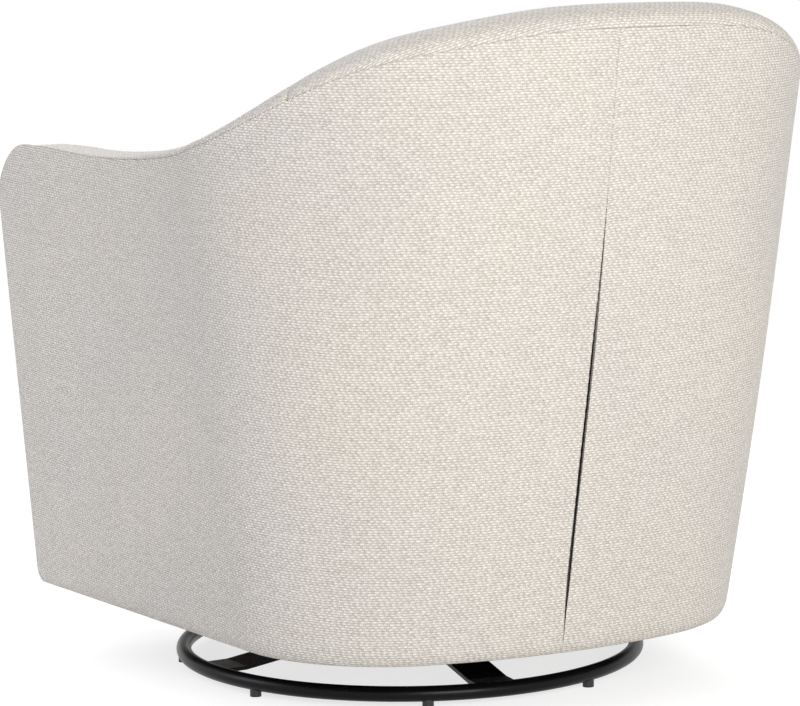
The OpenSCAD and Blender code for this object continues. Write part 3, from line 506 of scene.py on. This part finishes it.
# Outside cover of one half. Its profile starts under the rail, turns up at the foot, runs up the outside and
# tucks in at the seam, and comes down again on the inside.
def outsideCover(name, side):
    t, inset, height = frontColumns(0.0, cover["columns"], side)
    t, inset, height = t[:, None], inset[:, None], height[:, None]
    foot, footIn = shell["footZ"], shell["footIn"]
    low = foot + shell["footHeight"]
    rise = np.linspace(0, 1, cover["rows"])[None, :]
    back = np.linspace(1, 0, cover["rows"] // 3)[None, :]
    main = low + (height - 0.0025 - low) * rise
    waves = np.sin(t * 9.0 + 0.7) * np.sin(main * 7.0 + 0.4) + 0.5 * np.sin(t * 23.0 + main * 11.0)
    softness = cover["soft"] * waves
    softness = softness * smooth((height - main) / 0.08) * smooth((main - low) / 0.05)
    softness = softness * smooth((endS - 0.02 - t) / 0.1)
    belly = np.sin(math.pi * np.clip((main - low) / (height - low), 0, 1)) ** 0.8 * smooth((endS - t) / 0.10)
    softness = softness - cover["belly"] * belly
    near = np.exp(-(height - main) / 0.008) + 0.9 * np.exp(-t / 0.006)
    pucker = cover["pucker"] * near * np.sin((t + main) * 2 * math.pi / cover["puckerWave"])
    pucker = pucker * smooth((endS - 0.05 - t) / 0.05)
    tucked = 0.0008 * np.exp(-(t / 0.0016) ** 2)  # the edges along the closure turn in
    one = np.ones_like(t)
    columns = [  # heights and depths from under the rail round the foot to the outside
        (foot + 0.0040, footIn + cover["lip"]), (foot + 0.0012, footIn + cover["lip"] - 0.001),
        (foot + 0.0004, footIn + 0.020), (foot, footIn + 0.007), (foot + 0.0006, footIn + 0.0030),
        (foot + 0.0024, footIn * 0.90), (foot + 0.0060, footIn * 0.52), (foot + 0.0110, footIn * 0.20),
        (foot + 0.0155, footIn * 0.05)]
    tuckZ, tuckD = (-0.0010, -0.0003, 0.0001, 0.0003, -0.0040), (0.0000, 0.0002, 0.0007, 0.0030, 0.0052)
    inside = 0.0017 + (cover["thick"] - 0.0017) * smooth(t / 0.012) + 0 * back
    z = np.concatenate([a * one for a, b in columns] + [main] + [height + a for a in tuckZ]
                       + [low + (height - 0.006 - low) * back] + [(foot + 0.0050) * one] * 2, 1)
    d = np.concatenate([b * one for a, b in columns] + [softness + pucker] + [b * one for b in tuckD]
                       + [inside] + [(footIn + 0.006) * one, (footIn + cover["lip"]) * one], 1)
    outer = len(columns) + cover["rows"] + 4
    d[:, :outer] += inset + tucked
    d[:, outer:] += inset
    z[:, :len(columns)] += 0.15 * inset
    edge = slitHalf(z) + side * slitMiddle(z)
    edge[:, outer:-2] += 0.0004 * np.exp(-(t / 0.004) ** 2)
    points = wallPoint((edge + t * (1 - edge / endS)) * side, z, d)
    # The cloth is cut straight, so its rows rise to the front
    sink = cover["grain"] * np.maximum(t - cover["grainFrom"], 0.0)
    run = lengthAlong(z, d)
    run[:, outer:-2] = run[:, outer - 5:outer - 4] + z[:, outer:-2] - z[:, outer - 5:outer - 4]
    cloth = np.stack([-side * lengthAcross(points[..., :2]), run - sink], -1)
    return gridPiece(name, points, cloth, closed=True, capped=True, flip=side > 0, crease=60.0)


for name, side, replaced in (("outsideLeft", 1, "outside_left"), ("outsideRight", -1, "outside_right")):
    piece = dress(outsideCover(name, side), linen, "chair", "linen_weave", replaced)
print("outside covers made")

# Zip behind the closure
zipLook = {"low": 0.1057, "length": 0.539, "half": 0.0138, "depth": 0.0034, "thick": 0.0005, "rib": 0.0003,
           "coil": 0.0012, "pitch": 0.0016}


# The two tapes as one thin band with a rib at the middle
def zipTape():
    z = (zipLook["low"] + np.linspace(0, zipLook["length"], 160))[:, None]
    across = np.linspace(-1, 1, 15)[None, :] * zipLook["half"]
    s = np.concatenate([across, across[:, ::-1]], 1) + 0 * z
    rib = zipLook["rib"] * np.exp(-(across / 0.0012) ** 2)
    d = np.concatenate([zipLook["depth"] - rib, zipLook["depth"] + zipLook["thick"] + 0 * across], 1) + 0 * z
    z = z + 0 * s
    points = wallPoint(s + slitMiddle(z), z, d)
    return gridPiece("zipTape", points, np.stack([s, z], -1), closed=True, capped=True, flip=True)


# The coil lies outside the tape, and its turns swell and narrow it
def zipCoil():
    count = int(zipLook["length"] / zipLook["pitch"])
    z = (zipLook["low"] + np.linspace(0, count * zipLook["pitch"], count * 5 + 1))[:, None]
    a = np.linspace(0, 2 * math.pi, 13)[:-1][None, :]
    swell = 0.62 + 0.38 * np.abs(np.sin((z - zipLook["low"]) * math.pi / zipLook["pitch"] + 0.25 * np.cos(a)))
    s = zipLook["coil"] * 1.5 * swell * np.cos(a)
    d = zipLook["depth"] - 0.0008 - zipLook["coil"] * 0.6 * swell * np.sin(a)
    z = z + 0 * s
    points = wallPoint(s + slitMiddle(z), z, d)
    return gridPiece("zipCoil", points, np.stack([s, z], -1), closed=True, capped=True, flip=True)


tape = dress(zipTape(), tapeBlack, "chair", "dark_cloth", "zip_tape")
coil = dress(zipCoil(), glidePlastic, "chair", "dark_cloth")
print("zip made")

# Padded roll and inside
pad = {"rollPoints": 16, "facePoints": 70, "columns": 110, "tuck": 0.0030, "seamTurn": 0.006,
       "pucker": 0.0006, "puckerWave": 0.031, "puff": 0.0012, "lift": 0.003,
       "frontLong": 0.046, "frontTurn": 0.014, "backFace": 0.034}


# Profile of the padded wall at a place s, all drawn in by the inset: a tuck at the outside seam, a quarter
# ellipse up to the roll's top, another down to the inside face, the swollen face, and a straight way back up
def padProfile(s, inset, height):
    t = np.abs(s)
    r, m, e = rollAt(t), thickAt(t) / 2, inset
    foot = shell["footZ"] + pad["lift"]
    # Only the arm's front goes down to the foot
    reach = smooth((t - endS + pad["frontLong"]) / pad["frontTurn"])
    lowest = shell["deckLow"] - (shell["deckLow"] - foot) * reach
    a = np.linspace(0.04, math.pi / 2, pad["rollPoints"])[None, :]
    b = np.linspace(0.0, math.pi / 2, pad["rollPoints"])[None, 1:]
    f = np.linspace(0, 1, pad["facePoints"])[None, 1:]
    innerTop = height + r - (shell["insideRoll"] - e)
    face = innerTop + (lowest - innerTop) * f
    puff = pad["puff"] * np.exp(-((a - 0.5) / 0.5) ** 2) * smooth((0.02 - e) / 0.02)
    z = np.concatenate([height - pad["tuck"], height + 0.0001, height + 0.0002, height + r * np.sin(a) + 0.0001,
                        innerTop + (shell["insideRoll"] - e) * np.cos(b), face,
                        lowest, height + 0 * t - 0.004], 1)
    d = np.concatenate([e + 0.0100, e + 0.0026, e + 0.0006, e + (m - e) * (1 - np.cos(a)) - puff,
                        m + (m - e) * np.sin(b), insideDepth(s, np.maximum(face, 0.25)) - e,
                        pad["backFace"] + 0 * t, pad["backFace"] + 0 * t], 1)
    return z, d


# One padded panel between two places on the wall; its ends turn in to make the seams across the roll
def paddedPanel(start, end, side):
    tuckAt = np.array([0.0, 0.0010, 0.0026, 0.0050])
    tuckIn = np.array([0.0038, 0.0022, 0.0008, 0.0])
    if abs(end) > endS - 0.001:
        t, inset, height = frontColumns(start + pad["seamTurn"], pad["columns"], side)
        t, inset, height = (np.concatenate([start + tuckAt, t]), np.concatenate([tuckIn, inset]),
                            np.concatenate([seamAt(side * (start + tuckAt)), height]))
    else:
        middle = np.linspace(start + pad["seamTurn"], end - pad["seamTurn"], pad["columns"])
        t = np.concatenate([start + tuckAt, middle, (end - tuckAt)[::-1]])
        inset = np.concatenate([tuckIn, 0 * middle, tuckIn[::-1]])
        height = seamAt(t)
    s = t[:, None]
    t, inset, height = np.abs(s), inset[:, None], height[:, None]
    z, d = padProfile(s * side, inset, height)
    away = np.minimum(np.abs(s - start), np.abs(end - s))
    ripple = np.sin(z * 2 * math.pi / pad["puckerWave"] + 1.3 * np.sin(s * 40)) * np.exp(-away / 0.014)
    d += pad["pucker"] * ripple * smooth((endS - 0.05 - t) / 0.05)
    return s, z, d


# Cloth map of a padded panel: height on the inside face, and the way over the roll beyond it. Along the wall
# it is the level length on the face, and on the roll the full length, which follows the fall of the front.
def padCloth(points, z, d, side):
    edge = 2 + 2 * pad["rollPoints"]
    length = lengthAlong(z, d)
    v = z[:, edge:edge + 1] + length[:, edge:edge + 1] - length
    part = smooth(np.clip((np.arange(z.shape[1]) - edge) / (0.35 * pad["facePoints"]), 0, 1))[None, :]
    u = lengthAcross(points) * (1 - part) + lengthAcross(points[..., :2]) * part
    middle = u[len(u) // 2] if side == 0 else 0.0
    return np.stack([(u - middle) * (-1 if side == 0 else -side), v], -1)


def makePanel(name, start, end, side, replaced):
    s, z, d = paddedPanel(start, end, side)
    points = wallPoint(s * side, z, d)
    cloth = padCloth(points, z, d, 0 if start < 0 else side)
    piece = gridPiece(name, points, cloth, closed=True, capped=True, flip=side > 0, crease=60.0)
    dress(piece, linen, "chair", "linen_weave", replaced)
    return piece


seam = shell["innerSeamAt"]
makePanel("insideBack", -seam, seam, 1, "inside_back")
makePanel("insideLeft", seam, endS, 1, "inside_left")
makePanel("insideRight", seam, endS, -1, "inside_right")
print("padded inside made")

# Arm front panels, set into the rounded front edge
front = {"flange": 0.0240, "bulge": 0.0045, "rings": 26, "outerPoints": 50, "bottomPoints": 10, "lift": 0.0024}


# A flange inside the seam, the ring where the rounded edge ends, and rings that move from it to the panel's
# upright middle line: first down into the seam's groove, then up onto a slightly domed face
def armFrontPanel(name, side):
    r = shell["edgeRound"]
    height = seamAt(np.array([[endS]])) - r
    z, d = padProfile(np.array([[endS]]), np.array([[r]]), height)
    z, d = z[0, 3:-2], d[0, 3:-2]
    low = shell["footZ"] + front["lift"]
    outer, bottom = front["outerPoints"], front["bottomPoints"]
    outerZ = np.linspace(low, height[0, 0], outer)
    bottomD = np.linspace(d[-1], r, bottom + 2)[1:-1]
    z = np.concatenate([outerZ, z, np.full(bottom, low)])
    d = np.concatenate([np.full(outer, r), d, bottomD])
    face = slice(outer + 2 * pad["rollPoints"] - 1, -bottom)
    z[face] = np.maximum(z[face], low)
    spineZ = np.clip(z, low + 0.045, height[0, 0] - 0.035)
    inner = insideDepth(np.array([endS]), np.maximum(spineZ, 0.25)) - r
    spineD = (inner + r) / 2
    way = np.linspace(0, 1, front["rings"])[1:]
    w = np.concatenate([[0.0, 0.0, 0.02, 0.05, 0.08], 0.08 + 0.92 * way])[:, None]
    dome = front["bulge"] * np.sin(way * math.pi / 2) - 0.0004
    sunk = smooth((z - low - 0.004) / 0.020)  # the seam's groove runs out at the foot
    groove = np.array([-0.0032, -0.0036, -0.0018, 0.0])[:, None] * sunk - 0.0004
    push = np.concatenate([np.full((1, len(z)), -front["flange"]), groove, dome[:, None] + 0 * z[None, :]])
    ringZ, ringD = z * (1 - w) + spineZ * w, d * (1 - w) + spineD * w
    s = (endS + push + 0 * ringZ) * side
    points = wallPoint(s, ringZ, ringD)
    cloth = np.stack([ringD * side, ringZ], -1)
    return gridPiece(name, points, cloth, closed=True, flip=side < 0, crease=60.0)


for name, side, replaced in (("armFrontLeft", 1, "arm_front_left"), ("armFrontRight", -1, "arm_front_right")):
    piece = dress(armFrontPanel(name, side), linen, "chair", "linen_weave", replaced)
print("arm fronts made")

# Front cover under the cushion
skirt = {"edge": 0.007, "bulge": 0.0030, "depth": 0.0240, "clear": 0.0008, "columns": 90, "rows": 60,
         "top": 0.318, "level": 0.25, "at": endS - 0.016}
frontY = float(planAt(np.array([endS]))[1][0])
skirtDepth = insideDepth(skirt["at"], skirt["level"])
skirtX = float(wallPoint(skirt["at"], skirt["level"], skirtDepth)[0]) - skirt["clear"]


# Sections across the panel, each a loop of height and depth with rounded corners; they draw in by a quarter
# circle at both ends, and the front bulges by a product of two sine humps. The ends follow the arms' inside.
def frontCover():
    r, half = skirt["edge"], skirtX
    turn = np.linspace(0, math.pi / 2, 9)
    end = half - r + r * np.sin(turn)
    x = np.concatenate([-end[::-1], np.linspace(-half + r, half - r, skirt["columns"])[1:-1], end])[:, None]
    e = quarterInset(np.abs(x) - half + r, r)
    low, top = shell["footZ"] + e, skirt["top"] - e
    up = np.linspace(0, 1, skirt["rows"])[None, :]
    rise = low + r + (top - low - 2 * r) * up
    c, s = np.cos(turn)[None, :] * r, np.sin(turn)[None, :] * r
    bulge = skirt["bulge"] * np.sin(math.pi * up) ** 0.6
    bulge = bulge * np.cos(np.clip(x / half, -1, 1) * math.pi / 2) ** 0.6
    z = np.concatenate([low + r - c, rise, top - r + s, top + 0 * e, low + 0 * e], 1)
    y = np.concatenate([e + r - s, e - bulge, e + r - c, skirt["depth"] + 0 * e, skirt["depth"] + 0 * e], 1)
    depth = insideDepth(skirt["at"], np.maximum(z, skirt["level"]))
    face = wallPoint(skirt["at"] + 0 * z, z, depth)[..., 0]
    x = x * (face - skirt["clear"]) / half
    points = np.stack(np.broadcast_arrays(x, frontY + y, z), -1)
    cloth = np.stack([x, lengthAlong(z, y)], -1)
    return gridPiece("frontCover", points, cloth, closed=True, capped=True, crease=60.0)


dress(frontCover(), linen, "chair", "linen_weave", "front_cover")
print("front cover made")

# Deck pad on the springs, and the thin cloth stapled under the seat rail
deck = {"low": 0.2922, "high": 0.3176, "edge": 0.0100, "dish": 0.0024, "lump": 0.0005, "rings": 24}
dust = {"low": 0.2624, "thick": 0.0010, "sag": 0.0065, "pull": 0.0013, "step": 0.052, "rings": 24}


# Outline of a CAD node's underside, by the angle round a point inside it: from one front corner round the back
# to the other, and straight across
def nodeOutline(name):
    places = vertexPlaces(nodes[name].data)
    ring = places[places[:, 2] < places[:, 2].min() + 0.0002][:, :2]
    ring = ring[np.argsort(np.arctan2(ring[:, 0], ring[:, 1] - axisY))]
    return np.concatenate([ring, np.linspace(ring[-1], ring[0], 34)[1:-1]])


# Rings drawn in toward the outline's middle by the share that each keeps, at the heights given
def ringSlab(name, outline, share, z, crease=60.0):
    middle = np.array([0.0, 0.5 * (outline[:, 1].min() + outline[:, 1].max())])
    flat = middle + (outline[None] - middle) * share[..., None]
    points = np.concatenate([flat, np.broadcast_to(z, flat.shape[:2])[..., None]], -1)
    return gridPiece(name, points, points[..., :2], closed=True, capped=True, crease=crease)


# The pad's edge is a half round, and its faces dish by the square of the distance from the edge
def deckPad():
    outline = nodeOutline("seat_deck")
    half = 0.5 * np.ptp(outline[:, 0])
    turn = np.linspace(0, math.pi, 15)[1:-1]
    r = 0.5 * (deck["high"] - deck["low"])
    edge = deck["edge"] / half
    inner = np.linspace(0.004, 1 - edge, deck["rings"])
    share = np.concatenate([inner, 1 - edge * (1 - np.sin(turn)), inner[::-1]])[:, None]
    dish = deck["dish"] * (1 - inner ** 2)
    side = deck["low"] + r - r * np.cos(turn)
    z = np.concatenate([deck["low"] + 0 * dish, side, deck["high"] - dish[::-1]])
    lumps = deck["lump"] * np.sin(outline[:, 0] * 70 * share) * np.sin(outline[:, 1] * 55 * share)
    upper = (np.arange(len(z)) > len(inner) + len(turn))[:, None]
    return ringSlab("deckPad", outline, share, z[:, None] + lumps * upper)


# The cloth hangs by a power of the distance from its edge, and a little between the staples
def dustCloth():
    outline = nodeOutline("dust_cover")
    step = np.hypot(*(outline - np.roll(outline, 1, 0)).T)
    run = np.cumsum(step)
    inner = np.linspace(0.004, 1, dust["rings"])[:, None]
    pull = dust["pull"] * np.abs(np.sin(math.pi * run / dust["step"]))[None, :] * inner ** 9
    under = dust["low"] - dust["sag"] * (1 - inner ** 2.2) - pull
    share = np.concatenate([inner, inner[::-1]])
    return ringSlab("dustCloth", outline, share, np.concatenate([under, under[::-1] + dust["thick"]]))


dress(deckPad(), deckFelt, "chair", "deck_cloth", "seat_deck")
piece = dress(dustCloth(), darkFelt, "chair", "dark_cloth", "dust_cover")
print("deck pad and dust cloth made")

# Loose seat cushion
seat = {"gap": 0.0030, "shrink": 0.0065, "front": 0.004, "corner": 0.034, "low": 0.3273, "side": 0.096,
        "crown": 0.028, "under": 0.007, "voxel": 0.0065, "pressure": 4.5, "cap": 0.010, "seam": 0.0034,
        "points": 300, "outlineUp": 0.05, "turns": 24, "borderRings": 9, "frames": 20}


# Closed outline of the cushion, drawn in by the inset, and the way along it: it follows the inside of the wall,
# and round corners join the front
def seatOutline(inset, count):
    z, inset = seat["low"] + seat["outlineUp"], seat["gap"] + inset
    t = np.linspace(-endS + 0.055, endS - 0.055, 700)
    wall = wallPoint(t, z, insideDepth(t, np.full_like(t, z)) + inset)[:, :2]
    frontLine, r = frontY + seat["front"] + inset, seat["corner"]
    wall = wall[wall[:, 1] > frontLine + r]
    turn = np.linspace(0, math.pi / 2, 12)[1:]
    x0, x1 = wall[0, 0], wall[-1, 0]
    left = np.stack([x1 - r + r * np.cos(turn), frontLine + r - r * np.sin(turn)], -1)
    right = np.stack([x0 + r - r * np.sin(turn), frontLine + r - r * np.cos(turn)], -1)
    loop = np.concatenate([wall, left, right])
    step = np.hypot(*(np.roll(loop, -1, 0) - loop).T)
    length = np.concatenate([[0], np.cumsum(step)])
    even = np.linspace(0, length[-1], count + 1)[:-1]
    around = np.concatenate([loop, loop[:1]])
    return np.stack([np.interp(even, length, around[:, 0]), np.interp(even, length, around[:, 1])], -1), even


# Rings from the middle of the underside out to its seam, up the side, and in again to the middle of the crown
def seatForm(outline):
    turns, rings = seat["turns"], seat["borderRings"]
    inner = np.linspace(0.004, 1, turns)
    share = np.concatenate([inner, np.ones(rings), np.linspace(1, 0.004, turns)])[:, None]
    inward = 1 - share ** 2.2
    border = seat["low"] + seat["side"] * np.linspace(0.1, 0.9, rings)[:, None]
    crown = seat["low"] + seat["side"] + seat["crown"] * inward[turns + rings:]
    z = np.concatenate([seat["low"] - seat["under"] * inward[:turns], border, crown])
    return ringSlab("seatForm", outline, share, z, crease=40.0)


def bakedMesh(piece):
    return bpy.data.meshes.new_from_object(piece.evaluated_get(bpy.context.evaluated_depsgraph_get()))


# The form is remeshed evenly and blown up as cloth, held at its two seams. A point moves no farther than the
# cap.
def seatCushion():
    outline, _ = seatOutline(seat["shrink"], seat["points"])
    form = seatForm(outline)
    remesh = form.modifiers.new("even", "REMESH")
    remesh.mode, remesh.voxel_size = "VOXEL", seat["voxel"]
    mesh = bakedMesh(form)
    bpy.data.objects.remove(form)
    cushion = bpy.data.objects.new("seatCushion", mesh)
    scene.collection.objects.link(cushion)
    start = vertexPlaces(mesh)
    near = np.linalg.norm(start[:, None, :2] - outline[None], axis=-1).min(1)
    edge = np.minimum(np.abs(start[:, 2] - seat["low"]), np.abs(start[:, 2] - seat["low"] - seat["side"]))
    held = np.nonzero((near < seat["voxel"] * 0.9) & (edge < seat["voxel"] * 0.8))[0]
    group = cushion.vertex_groups.new(name="seams")
    group.add(held.tolist(), 1.0, "REPLACE")
    cloth = cushion.modifiers.new("puff", "CLOTH").settings
    cloth.use_pressure, cloth.uniform_pressure_force = True, seat["pressure"]
    cloth.vertex_group_mass = "seams"
    cloth.effector_weights.gravity = 0.0
    for frameNumber in range(1, seat["frames"] + 1):
        scene.frame_set(frameNumber)
    blown = bakedMesh(cushion)
    moved = vertexPlaces(blown) - start
    far = np.linalg.norm(moved, axis=1, keepdims=True)
    start = start + moved * np.minimum(1.0, seat["cap"] / np.maximum(far, 1e-9))
    cushion.modifiers.clear()
    bpy.data.meshes.remove(blown)
    scene.frame_set(1)
    mesh.vertices.foreach_set("co", start.ravel())
    mesh.update()
    clothOnCushion(mesh, outline)
    finer = cushion.modifiers.new("finer", "SUBSURF")
    finer.levels = finer.render_levels = 1
    return cushion


# Cloth map by faces: the top and the underside lie flat, and the side border runs along the outline
def clothOnCushion(mesh, outline):
    places = vertexPlaces(mesh)
    normals = np.zeros(len(mesh.polygons) * 3)
    mesh.polygons.foreach_get("normal", normals)
    sizes = np.zeros(len(mesh.polygons), np.int32)
    mesh.polygons.foreach_get("loop_total", sizes)
    corners = np.zeros(len(mesh.loops), np.int32)
    mesh.loops.foreach_get("vertex_index", corners)
    flat = np.repeat(np.abs(normals.reshape(-1, 3)[:, 2]) > 0.62, sizes)
    middle = outline.mean(0)
    turn = np.unwrap(np.arctan2(*(outline - middle).T[::-1]))
    length = np.cumsum(np.hypot(*(outline - np.roll(outline, 1, 0)).T))
    order = np.argsort(np.mod(turn, 2 * math.pi))
    at = np.mod(np.arctan2(*(places[:, :2] - middle).T[::-1]), 2 * math.pi)
    run = np.interp(at, np.mod(turn, 2 * math.pi)[order], length[order])
    side = np.stack([run, places[:, 2]], -1)
    uv = np.where(flat[:, None], places[corners][:, :2], side[corners])
    layer = mesh.uv_layers.new(name="cloth")
    layer.data.foreach_set("uv", uv.astype(np.float32).ravel())
    mesh.polygons.foreach_set("use_smooth", np.ones(len(mesh.polygons), bool))


cushion = dress(seatCushion(), linen, "chair", "linen_weave", "seat_cushion")
print("seat cushion made")


# Cord sewn in at a seam: a tube of a few sides along a closed outline, with a slight twist in its radius
def weltCord(name, height, inset, radius):
    outline, run = seatOutline(inset, 420)
    ahead = np.roll(outline, -1, 0) - np.roll(outline, 1, 0)
    out = np.stack([ahead[:, 1], -ahead[:, 0]], -1) / np.linalg.norm(ahead, axis=1)[:, None]
    if ((outline - outline.mean(0)) * out).sum() < 0:
        out = -out
    a = np.linspace(0, 2 * math.pi, 11)[:-1][None, :]
    r = radius * (1 + 0.05 * np.sin(run / 0.0035)[:, None])
    plan = outline[:, None, :] + out[:, None, :] * (r * np.cos(a))[..., None]
    z = height + r * np.sin(a) + 0.0006 * np.sin(run / 0.041)[:, None]
    cloth = np.stack(np.broadcast_arrays(run[:, None], a * radius), -1)
    return gridPiece(name, np.concatenate([plan, z[..., None]], -1), cloth, closed=True, looped=True)


for name, height in (("seatWeltLow", seat["low"] + 0.001), ("seatWeltHigh", seat["low"] + seat["side"])):
    dress(weltCord(name, height, seat["seam"], seat["seam"]), linen, "chair", "linen_weave")
print("welts made")

# Camera, as the photograph was taken
view = {"azimuth": 28.17, "distance": 4.500, "height": 1.0027, "pitch": 7.77, "yaw": -0.100, "roll": -0.73,
        "lens": 162.18}


def placeCamera():
    a, pitch, yaw = (math.radians(view[k]) for k in ("azimuth", "pitch", "yaw"))
    turn = Matrix(((math.cos(a), math.sin(a), 0), (-math.sin(a), math.cos(a), 0), (0, 0, 1)))
    place = turn @ Vector((0, view["distance"], view["height"])) + Vector((0, axisY, 0))
    level = math.cos(pitch)
    ahead = turn @ Vector((-math.sin(yaw) * level, -math.cos(yaw) * level, -math.sin(pitch)))
    right = ahead.cross(Vector((0, 0, 1))).normalized()
    up = right.cross(ahead)
    c, s = math.cos(math.radians(view["roll"])), math.sin(math.radians(view["roll"]))
    right, up = right * c + up * s, up * c - right * s
    data = bpy.data.cameras.new("camera")
    data.lens, data.sensor_width, data.clip_end = view["lens"], 36.0, 100.0
    camera = bpy.data.objects.new("camera", data)
    camera.matrix_world = Matrix.Translation(place) @ Matrix((right, up, -ahead)).transposed().to_4x4()
    scene.collection.objects.link(camera)
    scene.camera = camera


# Floor, sky and lamps
studio = {"sky": 0.42, "floorTone": 0.80, "floorShade": 0.42, "floorGlow": 0.74,
          "floorFrom": 0.8, "floorTo": 2.4}
white = (1, 1, 1, 1)


# A white floor to the eye, with a light shadow near the chair, that throws back a grey floor's light
def makeFloor():
    turns = np.linspace(0, 2 * math.pi, 97)[:-1]
    radii = np.array([0.0005, 0.6, 1.5, 3.0, 12.0])[:, None]
    points = np.stack(np.broadcast_arrays(radii * np.cos(turns), radii * np.sin(turns), -0.0002), -1)
    floor = gridPiece("floor", points, points[..., :2], closed=True)
    material = bpy.data.materials.new("paleFloor")
    material.use_nodes = True
    tree = material.node_tree
    tree.nodes.remove(tree.nodes["Principled BSDF"])
    out = tree.nodes["Material Output"]
    paths = node(tree, "ShaderNodeLightPath")
    shown = calc(tree, "MAXIMUM", paths.outputs["Is Camera Ray"], paths.outputs["Is Glossy Ray"])
    place = objectPlace(tree)
    away = node(tree, "ShaderNodeVectorMath", {0: place}, operation="LENGTH").outputs["Value"]
    far = ramp(tree, away, studio["floorFrom"], studio["floorTo"])
    tone = node(tree, "ShaderNodeBsdfDiffuse", {"Color": (studio["floorTone"],) * 3 + (1,)})
    pale = node(tree, "ShaderNodeBsdfDiffuse", {"Color": (studio["floorShade"],) * 3 + (1,)})
    glow = node(tree, "ShaderNodeEmission", {"Color": white, "Strength": studio["floorGlow"]})
    plain = node(tree, "ShaderNodeEmission", {"Color": white, "Strength": 1.0})
    near = node(tree, "ShaderNodeAddShader", {0: pale.outputs[0], 1: glow.outputs[0]})
    seen = node(tree, "ShaderNodeMixShader", {0: far, 1: near.outputs[0], 2: plain.outputs[0]})
    both = node(tree, "ShaderNodeMixShader", {0: shown, 1: tone.outputs[0], 2: seen.outputs[0]})
    tree.links.new(both.outputs[0], out.inputs["Surface"])
    floor.data.materials.append(material)


# A sky that is white to the eye, and dimmer as a light
def makeSky():
    world = bpy.data.worlds.new("paleSky")
    world.use_nodes = True
    tree = world.node_tree
    paths = node(tree, "ShaderNodeLightPath")
    seen = calc(tree, "MAXIMUM", paths.outputs["Is Camera Ray"], paths.outputs["Is Glossy Ray"])
    seen = calc(tree, "MAXIMUM", seen, paths.outputs["Is Transmission Ray"])
    sky = tree.nodes["Background"]
    tree.links.new(ramp(tree, seen, 0.0, 1.0, studio["sky"], 1.0), sky.inputs["Strength"])
    sky.inputs["Color"].default_value = white
    scene.world = world
    scene.view_settings.view_transform = "Standard"


chairMiddle = Vector((0, 0, 0.45))


# A soft rectangular lamp at an azimuth from +Y toward +X, aimed at the chair's middle
def softLamp(name, azimuth, elevation, distance, size, power, color=(1, 1, 1)):
    data = bpy.data.lights.new(name, "AREA")
    data.shape, data.size, data.size_y, data.energy, data.color = "RECTANGLE", size[0], size[1], power, color
    lamp = bpy.data.objects.new(name, data)
    a, e = math.radians(azimuth), math.radians(elevation)
    away = Vector((math.sin(a) * math.cos(e), math.cos(a) * math.cos(e), math.sin(e)))
    turn = away.to_track_quat("Z", "Y").to_matrix().to_4x4()
    lamp.matrix_world = Matrix.Translation(chairMiddle + away * distance) @ turn
    lamp.visible_camera = False
    scene.collection.objects.link(lamp)


placeCamera()
makeFloor()
makeSky()
softLamp("keyBehind", 8.0, 17.0, 5.0, (2.2, 2.0), 160.0, (1.0, 0.985, 0.955))
softLamp("frontFill", 195.0, 25.0, 5.0, (2.6, 2.0), 140.0)
softLamp("coolSide", 116.0, 20.0, 5.0, (2.4, 2.2), 66.0, (0.84, 0.88, 1.0))
print("camera and lamps placed")
